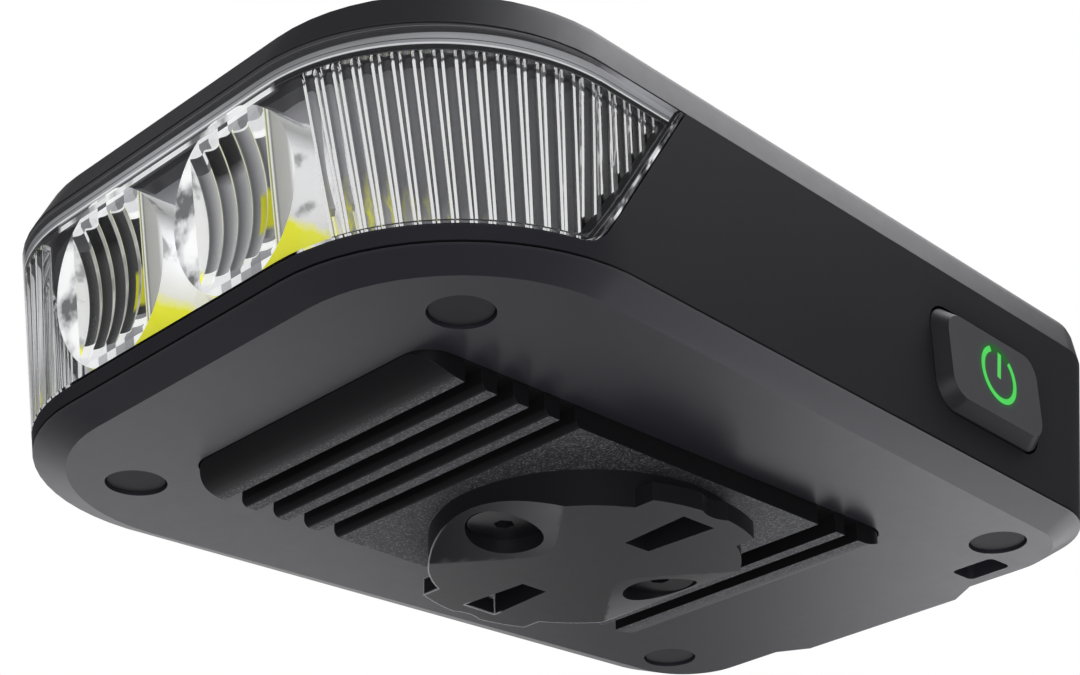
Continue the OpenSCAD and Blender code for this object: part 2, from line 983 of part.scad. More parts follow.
battery_lead_x = 2;
battery_lead_out = 2.4;
plug_block = [8, 3.6, 2.2];

module battery_leads() {
    color("#b8322a")
        on_flat()
            for (side = [-1, 1])
                let (x = side * battery_lead_x, y = battery_rear + cell_board_l,
                    h = battery_foot + battery_t / 2)
                    wire([[x, y + battery_lead_out, board_top + plug_block[2] + 0.02],
                        [x, y + battery_lead_out + 0.3, h - 1.2], [x, y + lead_r / 2, h]], lead_r);
}

module battery_tray() {
    color("#4a4a4e")
        on_flat()
            translate([0, 0, tray_foot]) {
                difference() {
                    union() {
                        translate([0, battery_mid, 0])
                            linear_extrude(tray_t)
                                rounded_rect(battery_w + 2 * tray_margin, battery_l + 2 * tray_margin,
                                    battery_r);
                        for (side = [0, 1])
                            mirror([side, 0, 0]) {
                                translate([fork_in, -fork_front, 0])
                                    cube([screw_dx / 2 - fork_in, fork_front - battery_front, tray_t]);
                                translate([fork_in - 1, -battery_front, 0])
                                    cube([screw_dx / 2 - fork_in + 1, 5, tray_t]);
                                translate([fork_rear_in, battery_rear - 1, 0])
                                    cube([screw_dx / 2 - fork_rear_in, fork_rear - battery_rear + 1,
                                        tray_t]);
                            }
                    }
                    at_cover_screws()
                        translate([0, 0, -1])
                            cylinder(r = post_r + fit, h = tray_t + 2);
                }
                for (side = [-1, 1])
                    translate([side * (battery_w + tray_margin + fit) / 2 - (tray_margin - fit) / 2,
                        -battery_front + battery_r, 0])
                        cube([tray_margin - fit, battery_l - 2 * battery_r, tray_t + tray_lip_h]);
            }
}

foam_r = 1;

module battery_foam() {
    color("#303033")
        on_flat()
            translate([0, battery_mid, battery_foot + battery_t + skin])
                linear_extrude(roof_h - battery_foot - battery_t - 2 * skin)
                    rounded_rect(battery_w - 2 * battery_edge_r, battery_l - 2 * battery_edge_r, foam_r);
}

module control_board() {
    color("#1f5a3a")
        on_flat()
            translate([0, 0, board_foot])
                difference() {
                    linear_extrude(board_t) {
                        translate([0, (board_step - board_front) / 2])
                            rounded_rect(2 * board_half, board_step + board_front, 1);
                        translate([-board_tail_half, 0])
                            square([2 * board_tail_half, board_rear]);
                    }
                    at_board_screws()
                        translate([0, 0, -1])
                            cylinder(r = board_screw_r + fit, h = board_t + 2);
                }
}

// A block on the control board, its centre given
module chip(x, y, size) {
    translate([x - size[0] / 2, y - size[1] / 2, board_top])
        cube(size);
}

controller = [5, 5, 0.9];
controller_at = [4, -4];
charger = [4, 3, 0.9];
charger_at = [-3, 14];
driver = [3, 3, 1];
driver_at = [6, 9];
lead_block = [4.5, 3, 1.2];
lead_block_in = 2.6;
small_part = [0.8, 1.6, 0.8];
small_pitch = 2.4;
row_at = [-16, -4];
column_at = [12, 2];
coil_at = [-9, 3];
coil_r = 3.2;
coil_h = 2.4;
switch_part_in = 2;
switch_part_y = 5;

module board_components() {
    color("#202022")
        on_flat() {
            chip(controller_at[0], controller_at[1], controller);
            chip(charger_at[0], charger_at[1], charger);
            chip(driver_at[0], driver_at[1], driver);
            chip(0, battery_rear + cell_board_l + battery_lead_out, plug_block);
            chip((lead_x[0] + lead_x[1]) / 2, lead_block_in - lead_end, lead_block);
            for (i = [0 : 3])
                chip(row_at[0] + i * small_pitch, row_at[1], small_part);
            for (i = [0 : 2])
                chip(column_at[0], column_at[1] + i * small_pitch, small_part);
            for (side = [-1, 1])
                chip(board_half - switch_part_in, button_y + side * switch_part_y, small_part);
            translate([coil_at[0], coil_at[1], board_top])
                cylinder(r = coil_r, h = coil_h);
        }
}

module board_screws() {
    color("#c9c9cc")
        on_flat()
            at_board_screws()
                translate([0, 0, board_top])
                    screw(small_head_r, small_head_t, board_screw_r, board_screw_l);
}

// Charging socket on the board's rear edge
socket_w = 8.94;
socket_h = 3.26;
socket_l = 7.3;
socket_skin = 0.3;
socket_deep = 6.2;
socket_mouth = 39.3;
tongue_w = 6.7;
tongue_t = 0.7;
tongue_back = 0.8;

// Frame at the socket's mouth: z forwards into the body
module at_socket() {
    translate([0, socket_mouth, port_h])
        rotate([90, 0, 0])
            children();
}

module charging_socket() {
    color("#c4c6ca")
        on_flat()
            at_socket()
                difference() {
                    linear_extrude(socket_l)
                        rounded_rect(socket_w, socket_h, socket_h / 2 - skin);
                    translate([0, 0, -1])
                        linear_extrude(socket_deep + 1)
                            rounded_rect(socket_w - 2 * socket_skin, socket_h - 2 * socket_skin,
                                socket_h / 2 - socket_skin - skin);
                }
}

module socket_tongue() {
    color("#1c1c1e")
        on_flat()
            at_socket()
                translate([-tongue_w / 2, -tongue_t / 2, tongue_back])
                    cube([tongue_w, tongue_t, socket_deep - tongue_back]);
}

// Power button, its light guide, and the switch behind it, outwards from the wall
cap_flange_t = 0.8;
cap_flange_over = 0.9;
cap_back = wall + 0.1;
stem_r = 1.5;
stem_end = 4.3;
button_bevel = 0.9;
icon_x = 0.5;
icon_y = 0.3;
icon_r = 2.7;
icon_line = 0.52;
icon_lean = 12;
icon_gap_angle = 34;
icon_bar = [-0.3, 2.3];
icon_depth = 0.6;
plunger_r = 1.6;
plunger_l = 1.9;
switch_face = stem_end + button_travel + clear;
switch_t = 3.7;
switch_w = 6;
switch_top = 2;
switch_bore = 2.2;

// Outline of the power symbol, grown by a gap
module power_symbol(gap) {
    difference() {
        circle(r = icon_r + gap);
        circle(r = icon_r - icon_line - gap);
        polygon([[0, 0], [far * sin(icon_gap_angle), far * cos(icon_gap_angle)],
            [-far * sin(icon_gap_angle), far * cos(icon_gap_angle)]]);
    }
    translate([-icon_line / 2 - gap, icon_bar[0]])
        square([icon_line + 2 * gap, icon_bar[1] - icon_bar[0]]);
}

module power_button() {
    color("#26262a")
        on_flat()
            at_button() {
                difference() {
                    union() {
                        translate([0, 0, -cap_back])
                            linear_extrude(cap_back + skin)
                                rounded_rect(button_l, button_w, button_r);
                        hull() {
                            linear_extrude(skin)
                                rounded_rect(button_l, button_w, button_r, $fn = 32);
                            translate([0, 0, button_out - skin])
                                linear_extrude(skin)
                                    rounded_rect(button_l - 2 * button_bevel, button_w - 2 * button_bevel,
                                        button_r - button_bevel / 2, $fn = 32);
                        }
                    }
                    translate([icon_x, icon_y, button_out - icon_depth])
                        rotate([0, 0, -icon_lean])
                            linear_extrude(icon_depth + 1)
                                power_symbol(skin);
                }
                translate([0, 0, -cap_back - cap_flange_t])
                    linear_extrude(cap_flange_t)
                        rounded_rect(button_l + 2 * cap_flange_over, button_w + 2 * cap_flange_over,
                            button_r + cap_flange_over);
                translate([0, 0, -stem_end])
                    cylinder(r = stem_r, h = stem_end - cap_back);
            }
}

module button_light_guide() {
    color("#3fbf4a")
        on_flat()
            at_button()
                translate([icon_x, icon_y, button_out - icon_depth + skin])
                    rotate([0, 0, -icon_lean])
                        linear_extrude(icon_depth - skin)
                            power_symbol(0);
}

module switch_body() {
    color("#202124")
        on_flat()
            at_button()
                difference() {
                    translate([-switch_w / 2, board_top - button_h, -switch_face - switch_t])
                        cube([switch_w, switch_top + button_h - board_top, switch_t]);
                    translate([0, 0, -switch_face - switch_bore])
                        cylinder(r = plunger_r + fit, h = switch_bore + 1);
                }
}

module switch_plunger() {
    color("#d8d8d2")
        on_flat()
            at_button()
                translate([0, 0, -stem_end - plunger_l])
                    cylinder(r = plunger_r, h = plunger_l - 0.02);
}

// Rubber port cover: a flap on a rolled hinge, with a plug behind it
module port_cover() {
    color("#28282b")
        on_flat()
            at_rear() {
                translate([0, 0, -flap_floor])
                    linear_extrude(flap_floor + flap_out)
                        difference() {
                            translate([0, flap_foot_v + flap_r])
                                rounded_rect(flap_w, 2 * flap_r, flap_r - skin);
                            translate([-flap_w, flap_foot_v + flap_r])
                                square([2 * flap_w, flap_w]);
                        }
                translate([-flap_w / 2, flap_foot_v + flap_r, -flap_floor])
                    cube([flap_w, flap_hinge_v - flap_foot_v - flap_r, flap_floor + flap_out]);
                translate([-flap_w / 2, flap_hinge_v, flap_out - bead_r])
                    rotate([0, 90, 0])
                        cylinder(r = bead_r, h = flap_w);
                translate([0, port_v, -flap_floor - plug_l])
                    linear_extrude(plug_l + skin)
                        rounded_rect(plug_w, plug_h, plug_h / 2 - skin);
            }
}

module port_cover_anchor() {
    color("#28282b")
        on_flat()
            at_rear()
                translate([-flap_w / 2, anchor_v, -flap_floor - flap_gap + skin])
                    cube([flap_w, anchor_l, flap_floor + flap_gap + flap_out - skin]);
}

module cover_screws() {
    color("#8d8d92")
        on_flat()
            at_cover_screws()
                translate([0, 0, cover_seat])
                    rotate([180, 0, 0])
                        screw(cover_head_r, cover_head_t, cover_shank_r, cover_tip - cover_seat);
}

module screw_caps() {
    color("#232326")
        on_flat()
            at_cover_screws()
                translate([0, 0, cap_sunk])
                    cylinder(r = cap_r, h = cap_seat - cap_sunk);
}

top_cover();
housing();
bottom_cover();
body_seal();
front_lens();
lens_gasket();
optic_left();
optic_right();
optic_bezel();
led_board();
led_packages();
led_phosphors();
led_board_screws();
led_leads();
heat_sink();
sink_seal();
sink_screws();
quarter_turn_mount();
mount_screws();
battery_pack();
battery_leads();
battery_tray();
battery_foam();
control_board();
board_components();
board_screws();
charging_socket();
socket_tongue();
switch_body();
switch_plunger();
power_button();
button_light_guide();
port_cover();
port_cover_anchor();
cover_screws();
screw_caps();
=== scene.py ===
"""Bike headlight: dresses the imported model, lights it and frames it as the photograph does.

Lengths are in millimetres and heights count from the flat underside, unless a comment says otherwise.
"""

import math

import bmesh
import bpy
from mathutils import Matrix, Vector


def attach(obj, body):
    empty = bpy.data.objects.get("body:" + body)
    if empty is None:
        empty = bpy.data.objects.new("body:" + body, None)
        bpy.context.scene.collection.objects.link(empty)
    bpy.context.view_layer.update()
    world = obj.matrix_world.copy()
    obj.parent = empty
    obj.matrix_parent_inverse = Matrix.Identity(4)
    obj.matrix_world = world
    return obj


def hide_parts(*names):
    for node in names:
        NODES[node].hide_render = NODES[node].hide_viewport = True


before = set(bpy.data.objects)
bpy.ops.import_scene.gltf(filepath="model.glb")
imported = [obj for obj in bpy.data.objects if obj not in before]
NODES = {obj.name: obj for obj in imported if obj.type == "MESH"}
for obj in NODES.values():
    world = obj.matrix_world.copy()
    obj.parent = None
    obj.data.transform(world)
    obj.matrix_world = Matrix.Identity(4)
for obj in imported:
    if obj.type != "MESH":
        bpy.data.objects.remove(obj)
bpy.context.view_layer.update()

BODY_OF = {
    "power_button": "button",
    "button_light_guide": "button",
    "switch_plunger": "plunger",
    "port_cover": "port_cover",
}
MM = 0.001

# Sizes that part.scad names too. FLAT_Z is the flat's own height in the shared frame.
FLAT_Z = 5.0
PARTING_FRONT, PARTING_REAR = 43.75, 40.8
FRONT_HALF, REAR_HALF = 30.95, 27.5
FRONT_R, REAR_R = 17.65, 8.5
FRONT_RAKE, REAR_RAKE = math.radians(9), math.radians(12)
BEVEL_H, WALL_TOP = 1.15, 18.35
SILL_H, LENS_T = 2.5, 1.3
WINDOW_FOOT, WINDOW_LEAN, WINDOW_R = 28.9, math.radians(33.5), 3.0
RIB_PITCH, RIB_R, RIB_TOP = 1.65, 0.62, 16.6
RIB_FIRST_Y, SIDE_RIBS, CORNER_RIBS = 29.0, 7, 14
CORNER_FOOT = (math.radians(76), math.radians(18))
CORNER_TOP = (math.radians(82), math.radians(14))
FRONT_CX, REAR_CX = FRONT_HALF - FRONT_R, REAR_HALF - REAR_R
OPTIC_X, OPTIC_H, FLUTES, FLUTE_W = 7.95, 10.2, 5, 1.8
ICON_CENTRE, ICON_R = (21.7, 9.8), 2.44
DISC_RIM_R = 12.4


# ---- The body's form, as in part.scad ----------------------------------------------------

def front_at(h):
    return -PARTING_FRONT - math.tan(FRONT_RAKE) * (h - BEVEL_H)


def rear_at(h):
    return PARTING_REAR + math.tan(REAR_RAKE) * (h - BEVEL_H)


def wall_turn(h):
    run = rear_at(h) - REAR_R - front_at(h) - FRONT_R
    spread = REAR_CX - FRONT_CX
    return math.asin((FRONT_R - REAR_R) / math.hypot(spread, run)) - math.atan2(spread, run)


def side_at(y, h, inset):
    """The side wall's point at a place y, drawn in by an inset. In front it goes on round the corner."""
    centre_y = front_at(h) + FRONT_R
    turn = wall_turn(h)
    if y >= centre_y:
        reach = FRONT_CX * math.cos(turn) + centre_y * math.sin(turn) + FRONT_R - inset
        return Vector(((reach - y * math.sin(turn)) / math.cos(turn), y, h))
    angle = math.acos(min(1, (centre_y - y) / (FRONT_R - LENS_T)))
    return corner_at(angle, h, inset)


def corner_at(angle, h, inset):
    r = FRONT_R - inset
    return Vector((FRONT_CX + r * math.sin(angle), front_at(h) + FRONT_R - r * math.cos(angle), h))


def to_frame(v):
    """A point above the flat, as metres in the shared frame."""
    return Vector((v[0], v[1], v[2] + FLAT_Z)) * MM


# ---- Making objects ----------------------------------------------------------------------

MERGE_WITHIN = 0.004
FLAT_WITHIN = math.radians(0.6)
EDGE_STEPS = 2
FACE_WEIGHT = 100


def new_object(name, mesh, body, material):
    obj = bpy.data.objects.new(name, mesh)
    bpy.context.scene.collection.objects.link(obj)
    mesh.materials.clear()
    mesh.materials.append(material)
    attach(obj, body)
    return obj


def apply_modifiers(obj):
    graph = bpy.context.evaluated_depsgraph_get()
    mesh = bpy.data.meshes.new_from_object(obj.evaluated_get(graph))
    obj.modifiers.clear()
    obj.data = mesh


def smooth_by_angle(mesh, degrees):
    bm = bmesh.new()
    bm.from_mesh(mesh)
    for face in bm.faces:
        face.smooth = True
    for edge in bm.edges:
        edge.smooth = len(edge.link_faces) == 2 and edge.calc_face_angle(0) < math.radians(degrees)
    bm.to_mesh(mesh)
    bm.free()


def dress(node, material, edge=0.12, sharp=15):
    """A copy of a CAD node with rounded edges and even shading, which stands for it.

    edge is the width of the rounding, and sharp the angle in degrees from which an edge gets it.
    """
    source = NODES[node]
    mesh = source.data.copy()
    bm = bmesh.new()
    bm.from_mesh(mesh)
    bmesh.ops.remove_doubles(bm, verts=bm.verts, dist=MERGE_WITHIN * MM)
    bmesh.ops.dissolve_limit(bm, angle_limit=FLAT_WITHIN, verts=bm.verts, edges=bm.edges)
    bm.to_mesh(mesh)
    bm.free()
    obj = new_object(node + "_dressed", mesh, BODY_OF.get(node, "lamp"), material)
    smooth_by_angle(mesh, sharp)
    bevel = obj.modifiers.new("edges", "BEVEL")
    bevel.width = edge * MM
    bevel.segments = EDGE_STEPS
    bevel.limit_method = "ANGLE"
    bevel.angle_limit = math.radians(sharp + 1)
    bevel.use_clamp_overlap = True
    bevel.harden_normals = True
    weighted = obj.modifiers.new("even_shading", "WEIGHTED_NORMAL")
    weighted.mode = "FACE_AREA"
    weighted.weight = FACE_WEIGHT
    weighted.keep_sharp = True
    apply_modifiers(obj)
    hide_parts(node)


# ---- Colours and node trees --------------------------------------------------------------

def srgb(r, g, b):
    """A colour as a picture gives it, 0 to 255, turned into linear light."""
    def linear(c):
        c = c / 255
        return c / 12.92 if c <= 0.04045 else ((c + 0.055) / 1.055) ** 2.4
    return tuple(linear(c) for c in (r, g, b))


def grey(level, blue=0):
    """A grey, 0 to 255, with a little more or less blue."""
    return srgb(level, level, level + blue)


def shade(colour, factor):
    return tuple(c * factor for c in colour)


def shades(colour, factors):
    return [shade(colour, factor) for factor in factors]


def around(value, spread):
    return value - spread, value + spread


# Noise seldom leaves this span
NOISE_SPAN = (0.3, 0.7)


class Nodes:
    """A material's node tree, with short calls for the nodes used here.

    A noise is given by its scale per metre and its detail. A span is a pair: where a value starts
    to change, and where the change ends.
    """

    def __init__(self, name):
        self.material = bpy.data.materials.new(name)
        self.material.use_nodes = True
        self.tree = self.material.node_tree
        self.tree.nodes.clear()
        self.out = self.add("ShaderNodeOutputMaterial")
        self.place = self.add("ShaderNodeTexCoord").outputs["Object"]
        self.normal = self.add("ShaderNodeNewGeometry").outputs["Normal"]

    def add(self, kind, **settings):
        node = self.tree.nodes.new(kind)
        for key, value in settings.items():
            setattr(node, key, value)
        return node

    def link(self, output, socket):
        self.tree.links.new(output, socket)

    def feed(self, value, socket):
        """Links another node's value, or sets a constant."""
        if isinstance(value, bpy.types.NodeSocket):
            self.link(value, socket)
        else:
            socket.default_value = value

    # Places

    def split(self, vector):
        node = self.add("ShaderNodeSeparateXYZ")
        self.link(vector, node.inputs["Vector"])
        return node.outputs

    def in_mm(self):
        """The place as x, y and height above the flat, in millimetres."""
        node = self.add("ShaderNodeVectorMath", operation="MULTIPLY_ADD")
        self.link(self.place, node.inputs[0])
        node.inputs[1].default_value = (1 / MM, 1 / MM, 1 / MM)
        node.inputs[2].default_value = (0.0, 0.0, -FLAT_Z)
        place = self.split(node.outputs["Vector"])
        return place["X"], place["Y"], place["Z"]

    # Numbers

    def math(self, operation, a, b=0.0):
        node = self.add("ShaderNodeMath", operation=operation)
        self.feed(a, node.inputs[0])
        self.feed(b, node.inputs[1])
        return node.outputs["Value"]

    def plus(self, a, b):
        return self.math("ADD", a, b)

    def minus(self, a, b):
        return self.math("SUBTRACT", a, b)

    def times(self, a, b):
        return self.math("MULTIPLY", a, b)

    def larger(self, a, b):
        return self.math("MAXIMUM", a, b)

    def length(self, a, b):
        return self.math("SQRT", self.plus(self.times(a, a), self.times(b, b)))

    def remap(self, value, span, low, high):
        node = self.add("ShaderNodeMapRange")
        names = ("From Min", "From Max", "To Min", "To Max")
        for name, number in zip(names, (*span, low, high)):
            self.feed(number, node.inputs[name])
        self.link(value, node.inputs["Value"])
        return node.outputs["Result"]

    def rise(self, value, span, top=1.0):
        return self.remap(value, span, 0.0, top)

    def fall(self, value, span):
        return self.remap(value, span, 1.0, 0.0)

    def between(self, value, low, high, soft):
        """One between two values and nothing outside them, with soft ends."""
        rising = self.rise(value, (low - soft, low + soft))
        return self.times(rising, self.fall(value, (high - soft, high + soft)))

    def near_ring(self, across, up, radius, fade):
        """One on a ring, falling to nothing over a distance."""
        off = self.math("ABSOLUTE", self.minus(self.length(across, up), radius))
        near = self.fall(off, fade)
        return self.times(near, near)

    # Noise

    def noise(self, scale, detail=2.0, rough=0.5, stretch=None):
        place = self.place
        if stretch:
            mapping = self.add("ShaderNodeMapping")
            mapping.inputs["Scale"].default_value = stretch
            self.link(place, mapping.inputs["Vector"])
            place = mapping.outputs["Vector"]
        node = self.add("ShaderNodeTexNoise")
        node.inputs["Scale"].default_value = scale
        node.inputs["Detail"].default_value = detail
        node.inputs["Roughness"].default_value = rough
        self.link(place, node.inputs["Vector"])
        return node.outputs["Fac"]

    def varied(self, limits, noise):
        """A number that wanders between two limits."""
        return self.remap(self.noise(*noise), NOISE_SPAN, *limits)

    def mottled(self, colours, noise, span=NOISE_SPAN):
        """Two colours that run into each other."""
        return self.ramp(self.noise(*noise), list(zip(span, colours)))

    # Colours

    def ramp(self, value, stops):
        node = self.add("ShaderNodeValToRGB")
        ramp = node.color_ramp
        for element, (position, colour) in zip(ramp.elements, (stops[0], stops[-1])):
            element.position = position
            element.color = (*colour, 1)
        for position, colour in stops[1:-1]:
            ramp.elements.new(position).color = (*colour, 1)
        self.link(value, node.inputs["Fac"])
        return node.outputs["Color"]

    def mix(self, amount, a, b):
        node = self.add("ShaderNodeMix", data_type="RGBA")
        self.link(amount, node.inputs["Factor"])
        for name, value in (("A", a), ("B", b)):
            socket = [s for s in node.inputs if s.name == name and s.type == "RGBA"][0]
            self.feed((*value, 1) if isinstance(value, tuple) else value, socket)
        return [s for s in node.outputs if s.type == "RGBA"][0]

    def toned(self, colour, tone):
        """A colour made darker by a tone below one, and lighter by one above."""
        node = self.add("ShaderNodeHueSaturation")
        node.inputs["Value"].default_value = tone
        self.link(colour, node.inputs["Color"])
        return node.outputs["Color"]

    # Surfaces

    def bump(self, height, strength, distance):
        node = self.add("ShaderNodeBump")
        node.inputs["Strength"].default_value = strength
        node.inputs["Distance"].default_value = distance * MM
        self.link(height, node.inputs["Height"])
        return node.outputs["Normal"]

    def shader(self, **values):
        """A principled surface, linked to the output."""
        node = self.add("ShaderNodeBsdfPrincipled")
        for key, value in values.items():
            self.feed(value, node.inputs[key.replace("_", " ")])
        return self.to_output(node.outputs["BSDF"])

    def to_output(self, surface):
        self.link(surface, self.out.inputs["Surface"])
        return surface

    def mix_shaders(self, amount, a, b):
        node = self.add("ShaderNodeMixShader")
        self.link(amount, node.inputs["Fac"])
        self.link(a, node.inputs[1])
        self.link(b, node.inputs[2])
        return node.outputs["Shader"]

    def clear_to_lamps(self, surface):
        """Lets lamp light through to what lies behind, as clear plastic does."""
        through = self.add("ShaderNodeBsdfTransparent").outputs["BSDF"]
        is_shadow = self.add("ShaderNodeLightPath").outputs["Is Shadow Ray"]
        self.to_output(self.mix_shaders(is_shadow, surface, through))


# ---- Plastic, rubber, coating and metal --------------------------------------------------

SHEEN_TINT = (0.9, 0.885, 1.0, 1)

MOTTLE_NOISE, MOTTLE_SPAN, MOTTLE_TONES = (90, 4), (0.35, 0.65), (0.96, 1.04)
POLISH_NOISE, POLISH_SPREAD = (900, 3), 0.012
GRAIN_DETAIL, GRAIN_CONTRAST, GRAIN_BUMP = 3, 0.6, 0.2
# Painted highlight along the edges: how far in from the edge, and the cosines of the turn from first to
# most
EDGE_HIGHLIGHT_REACH, EDGE_HIGHLIGHT_SPAN, EDGE_HIGHLIGHT_MOST, EDGE_HIGHLIGHT_SAMPLES = 0.25, (0.995, 0.93), 0.8, 4
EDGE_HIGHLIGHT_TONE = 1.5
# The painted highlight on the disc's rim: its soft inner edge, and where it starts and is full towards
# the left
RIM_HIGHLIGHT_SOFT, RIM_HIGHLIGHT_LEFT = 0.4, (-3.0, -8.0)
# Painted shade in crevices: how open a place is, from dark to clear
CREVICE_SPAN, CREVICE_TONE, CREVICE_SPECULAR, CREVICE_SAMPLES = (0.6, 0.97), 0.15, 0.02, 6
LINE_SOFT, LINE_TONE = 0.03, 0.05
# Painted shade on the button's flanks, by the cosine of their turn from its face, and the fade of the
# painted glow round its icon
FLANK_SPAN, FLANK_TONE = (0.96, 0.86), 0.3
HALO_FADE = (0.2, 0.9)


def moulded(name, colour, roughness, specular, grain=5500, grain_depth=0.012,
            rim=None, shaded=None, halo=None, line_below=None):
    """Moulded plastic or rubber: fine grain, a little mottling, and a painted highlight along the edges.

    rim is the colour of a painted highlight along the disc's rim on its left. shaded is the reach of the
    painted shade in crevices.
    halo is the colour of a painted glow round a button's lit icon, and also gives it flanks darkened by
    painted shade. line_below is the height under which a dark line runs.
    """
    n = Nodes(name)
    x, y, height = n.in_mm()
    base = n.mottled(shades(colour, MOTTLE_TONES), MOTTLE_NOISE, MOTTLE_SPAN)
    # Painted highlight: the colour turns lighter where the rounded shading turns away from the face
    rounded = n.add("ShaderNodeBevel", samples=EDGE_HIGHLIGHT_SAMPLES)
    rounded.inputs["Radius"].default_value = EDGE_HIGHLIGHT_REACH * MM
    facing = n.add("ShaderNodeVectorMath", operation="DOT_PRODUCT")
    n.link(rounded.outputs["Normal"], facing.inputs[0])
    n.link(n.normal, facing.inputs[1])
    edge_highlight = shade(colour, EDGE_HIGHLIGHT_TONE)
    # Painted highlight along the disc's rim on its left
    if rim:
        at_rim = n.rise(n.length(x, y), (DISC_RIM_R, DISC_RIM_R + RIM_HIGHLIGHT_SOFT))
        edge_highlight = n.mix(n.times(at_rim, n.rise(x, RIM_HIGHLIGHT_LEFT)), edge_highlight, rim)
    base = n.mix(n.rise(facing.outputs["Value"], EDGE_HIGHLIGHT_SPAN, EDGE_HIGHLIGHT_MOST), base, edge_highlight)
    if shaded:
        # Painted shade in crevices: the colour and the sheen go dark where little light reaches
        crevice = n.add("ShaderNodeAmbientOcclusion", samples=CREVICE_SAMPLES)
        crevice.inputs["Distance"].default_value = shaded * MM
        lit_by_all = n.rise(crevice.outputs["AO"], CREVICE_SPAN)
        base = n.mix(lit_by_all, shade(colour, CREVICE_TONE), base)
        specular = n.remap(lit_by_all, (0.0, 1.0), CREVICE_SPECULAR, specular)
    if line_below:
        in_line = n.rise(height, (line_below, line_below - LINE_SOFT))
        base = n.mix(in_line, base, shade(colour, LINE_TONE))
    if halo:
        # Painted shade on the flanks, then a painted green glow round the icon
        base = n.mix(n.rise(n.split(n.normal)["X"], FLANK_SPAN), base, shade(colour, FLANK_TONE))
        along, up = n.minus(y, ICON_CENTRE[0]), n.minus(height, ICON_CENTRE[1])
        base = n.mix(n.near_ring(along, up, ICON_R, HALO_FADE), base, halo)
    n.shader(
        Base_Color=base,
        Roughness=n.varied(around(roughness, POLISH_SPREAD), POLISH_NOISE),
        Normal=n.bump(n.noise(grain, GRAIN_DETAIL, GRAIN_CONTRAST), GRAIN_BUMP, grain_depth),
        Specular_IOR_Level=specular,
        Specular_Tint=SHEEN_TINT,
    )
    return n.material


# The tread: faces of the cooling base that look straight down and lie low enough
TREAD_TURN, TREAD_HEIGHT = (-0.97, -0.995), (-1.64, -1.74)
TREAD_BUMP, TREAD_DEPTH = 0.8, 0.05
SAND_NOISE, SAND_TONE, SAND_STOPS = (5200, 5, 0.75), 0.55, (0.3, 0.52, 0.62)
COAT_NOISE, COAT_TONES, COAT_ROUGHNESS, TREAD_ROUGHNESS = (120, 3), (0.85, 1.15), 0.42, 0.6


def cast_coated(name, smooth, grainy, speck):
    """Coated casting: smooth dark ramps and walls, and grainy flat faces that look down."""
    n = Nodes(name)
    height = n.in_mm()[2]
    tread = n.times(n.rise(n.split(n.normal)["Z"], TREAD_TURN), n.rise(height, TREAD_HEIGHT))
    grains = n.noise(*SAND_NOISE)
    sand = (shade(grainy, SAND_TONE), grainy, speck)
    speckled = n.ramp(grains, list(zip(SAND_STOPS, sand)))
    plain = n.mottled(shades(smooth, COAT_TONES), COAT_NOISE)
    n.shader(
        Base_Color=n.mix(tread, plain, speckled),
        Roughness=n.remap(tread, (0, 1), COAT_ROUGHNESS, TREAD_ROUGHNESS),
        Normal=n.bump(n.times(tread, grains), TREAD_BUMP, TREAD_DEPTH),
        Specular_IOR_Level=0.4,
        Specular_Tint=SHEEN_TINT,
    )
    return n.material


METAL_NOISE, METAL_TONES = (700, 4), (0.85, 1.0)
METAL_POLISH, METAL_SPREAD = (1500, 3), 0.08
METAL_GRAIN, METAL_BUMP, METAL_DEPTH = (4000, 3), 0.2, 0.01


def metal(name, colour, roughness):
    n = Nodes(name)
    n.shader(
        Base_Color=n.mottled(shades(colour, METAL_TONES), METAL_NOISE),
        Metallic=1.0,
        Roughness=n.varied(around(roughness, METAL_SPREAD), METAL_POLISH),
        Normal=n.bump(n.noise(*METAL_GRAIN), METAL_BUMP, METAL_DEPTH),
    )
    return n.material


LIT_NOISE, LIT_TONES = (900, 2), (0.92, 1.0)


def lit(name, colour, glow):
    """A light guide that glows evenly, with a faint grain."""
    n = Nodes(name)
    base = n.mottled(shades(colour, LIT_TONES), LIT_NOISE)
    n.shader(Base_Color=base, Emission_Color=base, Emission_Strength=glow, Roughness=0.4)
    return n.material


# ---- The optics --------------------------------------------------------------------------

# Painted yellow light from the sources behind the optics
YELLOW, DIM_YELLOW = srgb(250, 250, 36), srgb(176, 176, 30)
STREAK_NOISE, RING_NOISE, SOURCE_NOISE, CLEAR_NOISE = (420, 3), (330, 4), (230, 2), (300, 2)

# Painted light and shade across one flute, from 0 at its left edge to 1 at its right
FLUTE_TONES = [
    (0.0, grey(110)), (0.06, grey(70, 3)), (0.4, grey(116, 2)), (0.8, grey(146, 1)),
    (0.85, grey(50, -4)),
]
FLUTE_SOFT = 0.02
# Each flute's painted highlight: a bright ridge at its right edge, and a pale shoulder before it
RIDGE, RIDGE_TONE = (0.9, 0.99, FLUTE_SOFT), srgb(246, 246, 200)
SHOULDER_TONES = [(0.35, grey(130, -2)), (0.65, grey(190, -4))]

# Where the painted shade, the painted yellow light and the pale marks lie across all flutes, counted in
# flutes from the first one's left edge
DARK_FLUTES, YELLOW_FLUTES = (1.0, 3.0, 0.01), (3.35, 4.84, FLUTE_SOFT)
FLUTES_END = (FLUTES - FLUTE_SOFT, FLUTES + FLUTE_SOFT)
PAST_FLUTES = (FLUTES, FLUTES + 1.5)
PAST_TONES = [
    (0.0, grey(246, -22)), (0.08, srgb(120, 124, 60)), (0.14, grey(236, -4)), (0.22, grey(120)),
    (0.3, grey(160, -4)), (0.8, grey(172, -2)), (1.0, grey(240)),
]

